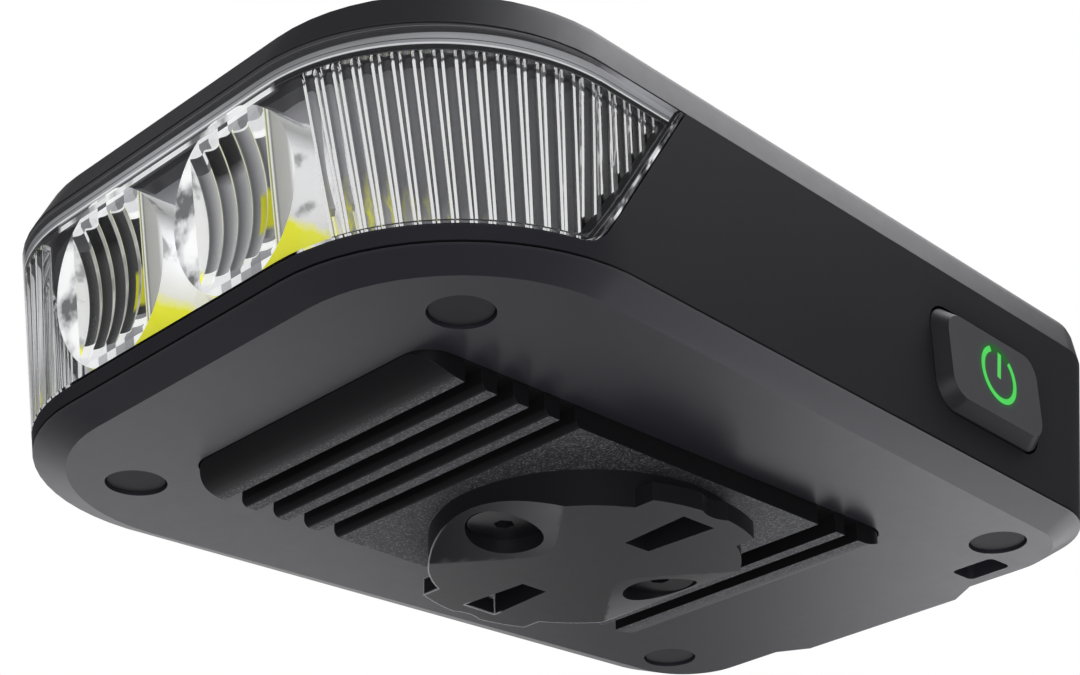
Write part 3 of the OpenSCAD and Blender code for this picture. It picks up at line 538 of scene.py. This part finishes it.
# Painted shade at the flutes' upper ends and painted yellow light, by height above the optic's axis.
# Streaks move the dark and the yellow edge up by as much as this.
DARK_END, DARK_END_TONE, DARK_END_STREAKS = (3.4, 4.4), grey(6, 1), 1.6
YELLOW_UP = (-3.1, 0.2, 0.25)
YELLOW_BELOW, YELLOW_STREAKS = (-2.6, -3.4), 2.0

# The painted light and shade of the clear blocks past the flutes' ends, by distance from the axis
FLUTE_REACH = (5.4, 5.44)
BLOCKS_PER_FLUTE, BLOCK_H = 1.5, 0.75
BLOCK_TONES = [(0.0, grey(60, 4)), (0.22, grey(150, 4)), (0.42, grey(225, 3)), (1.0, grey(255))]
RING_TONES = [(0.36, grey(110, 2)), (0.46, grey(214, 2)), (0.56, grey(252))]

# Painted light and shade on the barrel and cone, by how far they turn up, and their places along y
BARREL_TONES = [
    (0.15, grey(238, 2)), (0.42, grey(176)), (0.5, grey(186, -2)), (0.72, grey(226, 2)),
    (0.9, grey(250)),
]
STREAK_SPAN, STREAK_MOST, STREAK_TONE = (0.54, 0.64), 0.7, grey(120, 2)
BARREL_RIM, BARREL_RIM_MOST, BARREL_RIM_TONE = (-41.6, -41.2), 0.5, grey(236, 2)
NEARLY_ALL = 0.95
FACE_TURN = (-0.3, -0.45)
PALE_FRONT = (-34.8, -36.0)
# The painted yellow glow from the light sources behind, near the board
SOURCE_SPAN, SOURCE_PATCHES, SOURCE_MOST = (-38.0, -36.0), (0.46, 0.54), 0.8
SOURCE_GLOW, SOURCE_TONE = 0.85, srgb(240, 240, 40)


def fluted_face(n, across, up, streaks, tone, ridge_from):
    """The optic's front, painted with light and shade: flutes with bright ridges, clear blocks at their
    ends, and a pale ring.
    """
    within = n.math("FRACT", across)
    flute = n.toned(n.ramp(within, FLUTE_TONES), tone)
    # Painted shade at the upper ends of the middle flutes, and a patch of painted yellow light in the
    # last ones
    dark_end = n.rise(n.plus(up, n.times(streaks, DARK_END_STREAKS)), DARK_END, NEARLY_ALL)
    dark_end = n.times(dark_end, n.between(across, *DARK_FLUTES))
    flute = n.mix(dark_end, flute, DARK_END_TONE)
    patch = n.times(n.between(across, *YELLOW_FLUTES), n.between(up, *YELLOW_UP))
    flute = n.mix(patch, flute, DIM_YELLOW)
    shoulder = n.between(within, ridge_from, *RIDGE[1:])
    flute = n.mix(shoulder, flute, n.ramp(streaks, SHOULDER_TONES))
    flute = n.mix(n.between(within, *RIDGE), flute, RIDGE_TONE)

    cell = n.add("ShaderNodeCombineXYZ")
    n.link(n.math("FLOOR", n.times(across, BLOCKS_PER_FLUTE)), cell.inputs["X"])
    n.link(n.math("FLOOR", n.math("DIVIDE", up, BLOCK_H)), cell.inputs["Y"])
    block = n.add("ShaderNodeTexWhiteNoise", noise_dimensions="2D")
    n.link(cell.outputs["Vector"], block.inputs["Vector"])
    blocks = n.ramp(block.outputs["Value"], BLOCK_TONES)

    # The pale ring round the flutes is painted light
    ring = n.ramp(n.noise(*RING_NOISE), RING_TONES)
    past = n.ramp(n.rise(across, PAST_FLUTES), PAST_TONES)
    ring = n.mix(n.rise(across, FLUTES_END), ring, past)
    flute_x = n.times(n.minus(n.math("FLOOR", across), (FLUTES - 1) / 2), FLUTE_W)
    at_ends = n.rise(n.length(flute_x, up), FLUTE_REACH)
    in_flutes = n.between(across, 0.0, FLUTES, FLUTE_SOFT)
    return n.mix(in_flutes, ring, n.mix(at_ends, flute, blocks))


def barrel_side(n, y, up, turn, streaks):
    """The optic's barrel and cone, painted with light and shade: pale and streaked, and painted yellow
    light below from the board behind.
    """
    side = n.ramp(turn, BARREL_TONES)
    side = n.mix(n.rise(streaks, STREAK_SPAN, STREAK_MOST), side, STREAK_TONE)
    side = n.mix(n.rise(y, BARREL_RIM, BARREL_RIM_MOST), side, BARREL_RIM_TONE)
    low = n.rise(n.plus(up, n.times(streaks, YELLOW_STREAKS)), YELLOW_BELOW, NEARLY_ALL)
    return n.mix(low, side, YELLOW)


def fluted_optic(name, centre_x, tone, ridge_from):
    """Clear optic whose front is painted pale, and glows a little, with the light and shade that its
    flutes bend into view.

    tone paints the flutes darker or lighter, as painted shade and light. Each flute's painted highlight
    on its shoulder starts at ridge_from.
    """
    n = Nodes(name)
    x, y, height = n.in_mm()
    up = n.minus(height, OPTIC_H)
    across = n.minus(n.math("DIVIDE", x, FLUTE_W), centre_x / FLUTE_W - FLUTES / 2)
    normal = n.split(n.normal)
    streaks = n.noise(*STREAK_NOISE)
    face = fluted_face(n, across, up, streaks, tone, ridge_from)
    side = barrel_side(n, y, up, normal["Z"], streaks)
    colour = n.mix(n.rise(normal["Y"], FACE_TURN), side, face)
    # The painted front glows a little of its own
    pale = n.shader(
        Base_Color=colour,
        Emission_Color=colour,
        Emission_Strength=0.55,
        Roughness=0.15,
        Specular_IOR_Level=0.15,
    )
    glass = n.shader(
        Base_Color=(0.99, 0.995, 0.99, 1),
        Roughness=n.varied((0.015, 0.04), CLEAR_NOISE),
        IOR=1.49,
        Transmission_Weight=1.0,
    )
    body = n.mix_shaders(n.rise(y, PALE_FRONT), glass, pale)
    # Patches of painted yellow glow near the board behind
    glow = n.add("ShaderNodeEmission")
    glow.inputs["Color"].default_value = (*SOURCE_TONE, 1)
    glow.inputs["Strength"].default_value = SOURCE_GLOW
    patches = n.rise(n.noise(*SOURCE_NOISE), SOURCE_PATCHES, SOURCE_MOST)
    yellow = n.times(n.rise(y, SOURCE_SPAN), patches)
    n.clear_to_lamps(n.mix_shaders(yellow, body, glow.outputs["Emission"]))
    return n.material


# ---- The lens, the light board and the bezel ---------------------------------------------

# Bands painted round the lens, by height, each with its softness: painted pale light on the moulded rim,
# with its dark groove and painted shine, a painted highlight on the ledge over the optics and painted
# shade in a dark line over the ribs
RIM_BAND, RIM_GROOVE, RIM_SHINE = (17.0, 18.5, 0.05), (17.5, 17.57, 0.02), (17.1, 17.26, 0.02)
LEDGE_BAND, LINE_BAND = (16.35, 16.8, 0.03), (16.66, 17.1, 0.03)
BELOW_RIM = (16.6, 17.2)
FLAT_FRONT_HALF = (13.6, 14.2)
RIM_NOISE = dict(scale=500, detail=3, stretch=(0.12, 0.12, 3.0))
LEDGE_NOISE = dict(scale=260, detail=3, stretch=(1.0, 1.0, 0.25))
RIM_TONES = [(0.3, grey(128, 3)), (0.5, grey(160, 4)), (0.7, grey(184, 4))]
LEDGE_TONES = [(0.4, grey(110, 2)), (0.5, grey(240)), (0.7, grey(255))]
GROOVE_TONE, SHINE_TONE, DARK_LINE_TONE = grey(70, 2), grey(236, 2), grey(18, 2)

# The painted highlight and dark line along the slanted ends, by distance in front of the window's edge
END_EDGE, END_LINE = (-0.3, 0.34, 0.03), (0.38, 0.7, 0.04)
END_NOISE, END_RIM_TONE = dict(scale=420, detail=3, stretch=(1.0, 1.0, 0.6)), grey(40, 3)
END_TONES = [(0.42, grey(24, 2)), (0.5, grey(90, 4)), (0.58, grey(220, 2))]

# The cover's lip hides the lens above a line that climbs to the rear
LIP_HEIGHT, LIP_Y, LIP_SLOPE, LIP_SOFT = 18.45, -19.0, 0.02, 0.03
LIP_TONE = grey(54, 3)

# How much of the clear plastic these marks cover
BAND_AMOUNT, END_AMOUNT, LIP_AMOUNT = 0.88, 0.9, 0.96
WINDOW_NOISE, WINDOW_BUMP, WINDOW_DEPTH = (140, 2), 0.25, 0.004


def clear_lens():
    """Clear lens: polished window, with painted light and shade that glows a little: pale moulded rim on
    top, dark line below it, bright slanted ends.
    """
    n = Nodes("lens_polycarbonate")
    x, y, height = n.in_mm()
    inside = n.add("ShaderNodeNewGeometry").outputs["Backfacing"]
    edge_y = n.minus(n.times(n.minus(height, SILL_H), math.tan(WINDOW_LEAN)), WINDOW_FOOT)
    from_end = n.times(n.minus(edge_y, y), math.cos(WINDOW_LEAN))
    end_edge = n.between(from_end, *END_EDGE)
    lip = n.plus(n.times(n.minus(y, LIP_Y), LIP_SLOPE), LIP_HEIGHT)
    under_lip = n.rise(n.minus(height, lip), (-LIP_SOFT, LIP_SOFT))
    middle = n.fall(n.math("ABSOLUTE", x), FLAT_FRONT_HALF)
    rim = n.between(height, *RIM_BAND)
    ledge = n.times(n.between(height, *LEDGE_BAND), middle)
    line = n.times(n.between(height, *LINE_BAND), n.fall(middle, (0, 1)))
    dark = n.larger(line, n.between(from_end, *END_LINE))

    pale = n.ramp(n.noise(**RIM_NOISE), RIM_TONES)
    pale = n.mix(n.between(height, *RIM_GROOVE), pale, GROOVE_TONE)
    pale = n.mix(n.between(height, *RIM_SHINE), pale, SHINE_TONE)
    bright = n.ramp(n.noise(**LEDGE_NOISE), LEDGE_TONES)
    colour = n.mix(dark, n.mix(ledge, pale, bright), DARK_LINE_TONE)
    broken = n.ramp(n.noise(**END_NOISE), END_TONES)
    ends = n.mix(n.fall(height, BELOW_RIM), END_RIM_TONE, broken)
    colour = n.mix(under_lip, n.mix(end_edge, colour, ends), LIP_TONE)

    bands = n.times(n.larger(n.larger(rim, ledge), dark), inside)
    amount = n.larger(n.times(bands, BAND_AMOUNT), n.times(end_edge, END_AMOUNT))
    amount = n.larger(amount, n.times(under_lip, LIP_AMOUNT))
    # The painted marks glow a little of their own
    edge = n.shader(
        Base_Color=colour,
        Emission_Color=colour,
        Emission_Strength=0.5,
        Roughness=0.25,
    )
    glass = n.shader(
        Base_Color=(0.985, 0.99, 0.99, 1),
        Roughness=n.varied((0.01, 0.03), CLEAR_NOISE),
        IOR=1.5,
        Transmission_Weight=1.0,
        Normal=n.bump(n.noise(*WINDOW_NOISE), WINDOW_BUMP, WINDOW_DEPTH),
    )
    n.clear_to_lamps(n.mix_shaders(amount, glass, edge))
    return n.material


BOARD_NOISE, BOARD_POLISH = (240, 3), (300, 2)
# White, with painted yellow light from the sources
BOARD_TONES = [(0.42, grey(236, 2)), (0.5, srgb(246, 246, 60)), (0.62, srgb(240, 240, 40))]


def light_board():
    """White light board with a painted glow, as if lit by its own light sources, and painted yellow
    light round them.
    """
    n = Nodes("solder_mask_white")
    tone = n.ramp(n.noise(*BOARD_NOISE), BOARD_TONES)
    n.shader(
        Base_Color=tone,
        Emission_Color=tone,
        Emission_Strength=0.5,
        Roughness=n.varied((0.3, 0.4), BOARD_POLISH),
    )
    return n.material


# The bezel's front, and the painted shade in its corners: where they start, how deep they go, and the
# left one painted lighter
FACE_NOISE, FACE_TONES = (90, 3), (grey(134, 4), grey(144, 4))
CORNER_SIDE, CORNER_DEPTH = (15.5, 17.5), (-43.0, -24.0)
CORNER_TONES = [(0.0, grey(112, 4)), (0.55, grey(66, 4)), (1.0, grey(26, 2))]
LIGHT_CORNER_X, LIGHT_CORNER_NOISE = (-19.0, -15.5), (110, 2)
LIGHT_CORNER_TONES = [(0.38, grey(168, 4)), (0.6, grey(238, 4))]
# The painted yellow glow low in the corners, whose upper edge falls to the sides
GLOW_NOISE, GLOW_MOST = (320, 2), 0.85
GLOW_TONES = [(0.44, grey(150, 2)), (0.52, srgb(214, 214, 60)), (0.6, grey(160, -10))]
GLOW_SIDE, GLOW_TOP_IN, GLOW_TOP_OUT, GLOW_FADE = (14.0, 27.0), 12.5, 3.5, (0.0, 3.0)
SATIN_NOISE, SATIN_GRAIN, SATIN_BUMP, SATIN_DEPTH = (260, 3), (5000, 3), 0.3, 0.01


def shaded_bezel():
    """Satin grey surround with painted shade: darker to the right where the corner shades it, painted
    light in the left corner, painted yellow glow low in the corners, and a faint glow of its own all
    over.
    """
    n = Nodes("bezel_satin")
    x, y, height = n.in_mm()
    side = n.math("ABSOLUTE", x)
    corner = n.ramp(n.rise(y, CORNER_DEPTH), CORNER_TONES)
    light_corner = n.ramp(n.noise(*LIGHT_CORNER_NOISE), LIGHT_CORNER_TONES)
    corner = n.mix(n.fall(x, LIGHT_CORNER_X), corner, light_corner)
    in_corner = n.rise(side, CORNER_SIDE)
    base = n.mix(in_corner, n.mottled(FACE_TONES, FACE_NOISE), corner)
    below = n.minus(n.remap(side, GLOW_SIDE, GLOW_TOP_IN, GLOW_TOP_OUT), height)
    glowing = n.times(in_corner, n.rise(below, GLOW_FADE, GLOW_MOST))
    base = n.mix(glowing, base, n.ramp(n.noise(*GLOW_NOISE), GLOW_TONES))
    n.shader(
        Base_Color=base,
        Emission_Color=base,
        Emission_Strength=0.45,
        Roughness=n.varied((0.4, 0.5), SATIN_NOISE),
        Normal=n.bump(n.noise(*SATIN_GRAIN), SATIN_BUMP, SATIN_DEPTH),
        Specular_IOR_Level=0.3,
    )
    return n.material


# ---- The lens's mesh, with half-round ribs on its inner face -----------------------------

LENS_GAP, LENS_TOP_GAP, LENS_LEAST_H = 0.1, 0.05, 0.25
LENS_EDGE = 0.12
RIB_BORDER, RIB_END, RIB_LEAST_H = 0.75, 0.02, 0.3
PLAIN_FOOT, PLAIN_TOP = 0.3, 0.7
RIB_ANGLES = range(90, -91, -15)
REAR_LINES = (0.02, 0.2)
CORNER_END_ANGLES = (8, 4, 0)
FRONT_STEPS, OUTER_STEPS, RIB_STEPS = 6, 12, 10
LENS_SHARP = 32


def window_low(y, inset):
    """Height of the window's lower edge, drawn in by an inset, at a place along the side."""
    r = WINDOW_R - inset
    foot = -WINDOW_FOOT + inset * math.tan(WINDOW_LEAN) - inset / math.cos(WINDOW_LEAN)
    low = SILL_H + inset
    tangent = r / math.tan(math.radians(45) + WINDOW_LEAN / 2)
    if y <= foot - tangent:
        return low
    if y >= foot + tangent * math.sin(WINDOW_LEAN):
        return low + (y - foot) / math.tan(WINDOW_LEAN)
    return low + r - math.sqrt(r * r - (y - foot + tangent) ** 2)


def rib_bulge(offset):
    """How far a rib stands out of the inner face at a distance from its centre line."""
    return math.sqrt(max(0.0, RIB_R * RIB_R - offset * offset))


def on_side(y):
    return lambda h, inset: side_at(y, h, inset)


def on_corner(foot, top):
    """A line up the corner whose angle goes from one value at the ribs' foot to another at their top."""
    def place(h, inset):
        k = (h - SILL_H) / (RIB_TOP - SILL_H)
        return corner_at(foot + (top - foot) * k, h, inset)
    return place


def on_front(x):
    return lambda h, inset: Vector((x, front_at(h) + inset, h))


def lens_columns():
    """Upright lines from the window's rear to the middle: each a place by height and inset, and the
    line's offset from its rib's centre, or None between ribs."""
    columns = []
    offsets = [math.sin(math.radians(a)) * RIB_R for a in RIB_ANGLES]
    rear_y = (WALL_TOP - SILL_H) * math.tan(WINDOW_LEAN) - WINDOW_FOOT
    rear_y -= LENS_GAP / math.cos(WINDOW_LEAN)
    last_rib = -RIB_FIRST_Y + (SIDE_RIBS - 1) * RIB_PITCH
    for back in REAR_LINES:
        if rear_y - back > last_rib + RIB_R + RIB_END:
            columns.append((on_side(rear_y - back), None))
    for i in reversed(range(SIDE_RIBS)):
        centre = -RIB_FIRST_Y + i * RIB_PITCH
        columns += [(on_side(centre + offset), offset) for offset in offsets]
    reach = FRONT_R - LENS_T
    for i in range(CORNER_RIBS):
        t = i / (CORNER_RIBS - 1)
        foot = CORNER_FOOT[0] * (1 - t) + CORNER_FOOT[1] * t
        top = CORNER_TOP[0] * (1 - t) + CORNER_TOP[1] * t
        for offset in offsets:
            columns.append((on_corner(foot + offset / reach, top + offset / reach), offset))
    for degrees in CORNER_END_ANGLES:
        angle = math.radians(degrees)
        columns.append((on_corner(angle, angle), None))
    for k in range(1, FRONT_STEPS + 1):
        columns.append((on_front(FRONT_CX * (1 - k / FRONT_STEPS)), None))
    return columns


def outer_line(place, low, high):
    """A column's outer points, with the lens's edges rounded."""
    start, run = low + LENS_EDGE, high - low - 2 * LENS_EDGE
    heights = [low, start] + [start + run * k / OUTER_STEPS for k in range(1, OUTER_STEPS)]
    heights += [high - LENS_EDGE, high]
    insets = [LENS_EDGE] + [0] * (len(heights) - 2) + [LENS_EDGE]
    return [place(h, inset) for h, inset in zip(heights, insets)]


def inner_line(place, low, high, start, bulge):
    """A column's inner points, with the rib standing out between its foot and its top."""
    stop = RIB_TOP
    if bulge is None:
        run, bulge = high - low, 0
        start, stop = low + run * PLAIN_FOOT, low + run * PLAIN_TOP
    inner = [(low, 0), (start, 0), (start + RIB_END, bulge)]
    inner += [(start + (stop - start) * k / RIB_STEPS, bulge) for k in range(1, RIB_STEPS)]
    inner += [(stop - RIB_END, bulge), (stop, 0), (high, 0)]
    return [place(h, LENS_T + out) for h, out in inner]


def lens_mesh():
    lines_out, lines_in = [], []
    for place, offset in lens_columns():
        foot_y = place(SILL_H, 0).y
        high = WALL_TOP - LENS_TOP_GAP
        low = min(window_low(foot_y, LENS_GAP), high - LENS_LEAST_H)
        start = window_low(foot_y, LENS_GAP + RIB_BORDER)
        ribbed = offset is not None and RIB_TOP - start > RIB_LEAST_H
        lines_out.append(outer_line(place, low, high))
        lines_in.append(inner_line(place, low, high, start, rib_bulge(offset) if ribbed else None))

    bm = bmesh.new()

    def with_mirror(lines):
        flipped = [[Vector((-p.x, p.y, p.z)) for p in line] for line in reversed(lines[:-1])]
        return [[bm.verts.new(to_frame(p)) for p in line] for line in lines + flipped]

    outer, inner = with_mirror(lines_out), with_mirror(lines_in)
    for a, b in zip(outer, outer[1:]):
        for k in range(len(a) - 1):
            bm.faces.new((a[k], b[k], b[k + 1], a[k + 1]))
    for a, b in zip(inner, inner[1:]):
        for k in range(len(a) - 1):
            bm.faces.new((a[k], a[k + 1], b[k + 1], b[k]))
    for c in range(len(outer) - 1):
        bm.faces.new((outer[c][0], inner[c][0], inner[c + 1][0], outer[c + 1][0]))
        bm.faces.new((outer[c][-1], outer[c + 1][-1], inner[c + 1][-1], inner[c][-1]))
    for c in (0, -1):
        bm.faces.new(outer[c] + list(reversed(inner[c])))
    bmesh.ops.recalc_face_normals(bm, faces=bm.faces)
    mesh = bpy.data.meshes.new("front_lens_dressed")
    bm.to_mesh(mesh)
    bm.free()
    smooth_by_angle(mesh, LENS_SHARP)
    return mesh


# ---- Dressing the model ------------------------------------------------------------------

def dress_outside():
    # The wall gets painted shade in its crevices, round the button too
    wall = moulded("wall_plastic", grey(41, 5), 0.5, 0.2, shaded=4.0, line_below=1.3)
    cover = moulded("cover_plastic_fine", grey(46, 4), 0.38, 0.45)
    base = moulded("base_plastic_satin", grey(40, 6), 0.38, 0.5)
    # The disc's rim gets a painted highlight on its left
    disc = moulded("mount_nylon", grey(26, 3), 0.4, 0.35, rim=grey(216, 6))
    # The button gets painted shade in its crevices and on its flanks, and a painted green glow round its
    # icon
    rubber = moulded("button_rubber_satin", grey(78, 4), 0.42, 0.5, shaded=2.5, halo=srgb(30, 120, 40))
    flap = moulded("flap_rubber_matt", grey(38, 2), 0.62, 0.25)
    sink = cast_coated("cooling_base_coated", grey(20, 1), grey(56, 4), grey(112, 4))
    dress("top_cover", cover)
    dress("housing", wall)
    dress("bottom_cover", base)
    dress("heat_sink", sink, edge=0.08)
    dress("quarter_turn_mount", disc, sharp=34)
    dress("power_button", rubber, edge=0.2)
    dress("port_cover", flap, edge=0.2)
    dress("port_cover_anchor", flap, edge=0.2)
    dress("screw_caps", moulded("cap_rubber", grey(38, 3), 0.6, 0.2), edge=0.15)
    lens = new_object("front_lens_dressed", lens_mesh(), "lamp", clear_lens())
    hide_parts("front_lens")
    # The two optics carry different painted light and shade: the left one's flutes darker, with wider
    # pale shoulders
    left = fluted_optic("optic_acrylic_left", -OPTIC_X, tone=0.24, ridge_from=0.56)
    right = fluted_optic("optic_acrylic_right", OPTIC_X, tone=1.45, ridge_from=0.8)
    dress("optic_left", left, edge=0.06)
    dress("optic_right", right, edge=0.06)


def dress_inside():
    """New materials on the CAD's own pieces, most of which are out of sight."""
    seal, lead = srgb(150, 64, 52), srgb(176, 50, 40)
    looks = {
        "optic_bezel": shaded_bezel(),
        "led_board": light_board(),
        "led_packages": moulded("led_ceramic", grey(240, -4), 0.4, 0.5),
        "led_phosphors": lit("led_phosphor", srgb(236, 236, 40), 0.25),
        "lens_gasket": moulded("gasket_silicone", grey(30, 2), 0.6, 0.3),
        "body_seal": moulded("seal_silicone", seal, 0.6, 0.4),
        "sink_seal": moulded("seal_silicone_flat", seal, 0.6, 0.4),
        "button_light_guide": lit("icon_green_lit", srgb(72, 200, 84), 0.55),
        "control_board": moulded("solder_mask_green", srgb(30, 88, 56), 0.35, 0.5, grain=2500),
        "board_components": moulded("chip_epoxy", grey(34, 2), 0.5, 0.4),
        "switch_body": moulded("switch_nylon", grey(36, 2), 0.5, 0.4),
        "switch_plunger": moulded("switch_white", grey(215, -7), 0.4, 0.5),
        "battery_foam": moulded("foam_black_fine", grey(38, 2), 0.9, 0.2, grain=1500, grain_depth=0.08),
        "battery_tray": moulded("tray_nylon", grey(74, 4), 0.5, 0.4),
        "battery_pack": metal("battery_foil", srgb(150, 162, 178), 0.35),
        "charging_socket": metal("socket_plated", srgb(200, 202, 206), 0.3),
        "socket_tongue": moulded("socket_nylon", grey(28, 2), 0.5, 0.4),
        "battery_leads": moulded("lead_insulation", lead, 0.45, 0.4),
        "led_leads": moulded("lead_insulation_front", lead, 0.45, 0.4),
        "mount_screws": moulded("screw_blackened", grey(20, 2), 0.3, 0.35),
    }
    steel = metal("screw_steel", grey(150, 4), 0.35)
    for node in ("led_board_screws", "sink_screws", "board_screws", "cover_screws"):
        looks[node] = steel
    for node, material in looks.items():
        NODES[node].material_slots[0].material = material


# ---- World, floor and lights, in metres --------------------------------------------------

WORLD_LIGHT, WORLD_SEEN = 0.5, 1.0
# Ways from the lamp, each with the cosines at which it starts and is fully there, and the levels
# away from it and in it: the white backdrop that faces mirror, and a dark flag that keeps haze
# out of the clear parts
BACKDROP_WAY, BACKDROP_SPAN, BACKDROP_LEVELS = (-0.633, 0.619, 0.465), (0.85, 0.95), (0.08, 0.8)
FLAG_WAY, FLAG_SPAN, FLAG_LEVELS = (-0.74, -0.59, 0.32), (0.9, 0.97), (0.8, 0.04)

FLOOR_Z = -0.8
FLOOR_SIZE = 40.0
FLOOR_GLOW = 0.42
FLOOR_TONES, FLOOR_NOISE = ((0.86, 0.86, 0.86), (0.9, 0.9, 0.9)), (3, 2)

AIM = (0, 0, 0.012)
# Name, place, size and power in watts
LIGHTS = [
    ("low_rear", (-0.19, 0.72, -0.3), 0.6, 2.05),
    ("low_side", (-0.7, 0.33, -0.19), 0.5, 0.85),
    ("high", (0.08, 0.5, 0.85), 0.8, 3.8),
    ("fill", (0.62, -0.62, -0.46), 0.8, 3.5),
]


def add_world():
    """A white studio: white to the camera and through clear parts, softer in light and reflections."""
    world = bpy.data.worlds.new("studio")
    world.use_nodes = True
    tree = world.node_tree
    tree.nodes.clear()
    out = tree.nodes.new("ShaderNodeOutputWorld")
    path = tree.nodes.new("ShaderNodeLightPath")

    def background(strength):
        node = tree.nodes.new("ShaderNodeBackground")
        node.inputs["Color"].default_value = (1, 1, 1, 1)
        node.inputs["Strength"].default_value = strength
        return node

    def graded(towards, span, levels):
        """A background whose level changes towards one way."""
        way = tree.nodes.new("ShaderNodeVectorMath")
        way.operation = "DOT_PRODUCT"
        place = tree.nodes.new("ShaderNodeTexCoord").outputs["Generated"]
        tree.links.new(place, way.inputs[0])
        way.inputs[1].default_value = towards
        level = tree.nodes.new("ShaderNodeMapRange")
        names = ("From Min", "From Max", "To Min", "To Max")
        for name, number in zip(names, (*span, *levels)):
            level.inputs[name].default_value = number
        tree.links.new(way.outputs["Value"], level.inputs["Value"])
        node = background(levels[1])
        tree.links.new(level.outputs["Result"], node.inputs["Strength"])
        return node

    def seen_by(ray, others, shown):
        node = tree.nodes.new("ShaderNodeMixShader")
        tree.links.new(path.outputs[ray], node.inputs["Fac"])
        tree.links.new(others.outputs[0], node.inputs[1])
        tree.links.new(shown.outputs[0], node.inputs[2])
        return node

    reflected = graded(BACKDROP_WAY, BACKDROP_SPAN, BACKDROP_LEVELS)
    through_clear = graded(FLAG_WAY, FLAG_SPAN, FLAG_LEVELS)
    shown = seen_by("Is Glossy Ray", background(WORLD_LIGHT), reflected)
    shown = seen_by("Is Transmission Ray", shown, through_clear)
    shown = seen_by("Is Camera Ray", shown, background(WORLD_SEEN))
    tree.links.new(shown.outputs[0], out.inputs["Surface"])
    bpy.context.scene.world = world


def add_floor():
    """A pale floor under the lights, which lights nothing itself and is clear from below."""
    n = Nodes("floor_pale")
    tone = n.mottled(FLOOR_TONES, FLOOR_NOISE)
    to_camera = n.add("ShaderNodeLightPath").outputs["Is Camera Ray"]
    board = n.shader(
        Base_Color=tone,
        Emission_Color=tone,
        Emission_Strength=n.times(to_camera, FLOOR_GLOW),
        Roughness=0.8,
    )
    through = n.add("ShaderNodeBsdfTransparent").outputs["BSDF"]
    from_below = n.add("ShaderNodeNewGeometry").outputs["Backfacing"]
    n.to_output(n.mix_shaders(from_below, board, through))
    mesh = bpy.data.meshes.new("floor")
    s = FLOOR_SIZE / 2
    corners = [(-s, -s, FLOOR_Z), (s, -s, FLOOR_Z), (s, s, FLOOR_Z), (-s, s, FLOOR_Z)]
    mesh.from_pydata(corners, [], [(0, 1, 2, 3)])
    mesh.materials.append(n.material)
    floor = bpy.data.objects.new("floor", mesh)
    bpy.context.scene.collection.objects.link(floor)
    floor.visible_glossy = False
    floor.visible_diffuse = False
    floor.visible_shadow = False


def add_lights():
    """Round soft lights. The camera and clear parts don't see them."""
    for name, place, size, power in LIGHTS:
        light = bpy.data.lights.new(name, "AREA")
        light.shape = "DISK"
        light.size = size
        light.energy = power
        obj = bpy.data.objects.new(name, light)
        obj.location = place
        obj.rotation_euler = (Vector(AIM) - Vector(place)).to_track_quat("-Z", "Y").to_euler()
        obj.visible_transmission = False
        obj.visible_camera = False
        bpy.context.scene.collection.objects.link(obj)


# ---- The photograph's camera, in metres --------------------------------------------------

# Worked out from the body's edges and the round caps
CAMERA_AZ, CAMERA_EL = math.radians(45.63), math.radians(-27.68)
CAMERA_ROLL = math.radians(-1.054)
CAMERA_AT = (0.12669, -0.12875, -0.0724)
PHOTO_W, FOCAL_PX, SENSOR = 1080, 2262.8, 36.0
CLIP_START = 0.01


def add_camera():
    back = Vector((
        math.sin(CAMERA_AZ) * math.cos(CAMERA_EL),
        -math.cos(CAMERA_AZ) * math.cos(CAMERA_EL),
        math.sin(CAMERA_EL),
    ))
    right = (-back).cross(Vector((0, 0, 1))).normalized()
    up = right.cross(-back)
    turned_right = math.cos(CAMERA_ROLL) * right + math.sin(CAMERA_ROLL) * up
    turned_up = math.cos(CAMERA_ROLL) * up - math.sin(CAMERA_ROLL) * right
    data = bpy.data.cameras.new("photo_camera")
    data.sensor_width = SENSOR
    data.sensor_fit = "HORIZONTAL"
    data.lens = FOCAL_PX / PHOTO_W * SENSOR
    data.clip_start = CLIP_START
    camera = bpy.data.objects.new("photo_camera", data)
    camera.matrix_world = Matrix((turned_right, turned_up, back)).transposed().to_4x4()
    camera.location = CAMERA_AT
    bpy.context.scene.collection.objects.link(camera)
    bpy.context.scene.camera = camera


dress_outside()
dress_inside()
add_world()
add_floor()
add_lights()
add_camera()
bpy.context.scene.view_settings.view_transform = "Standard"
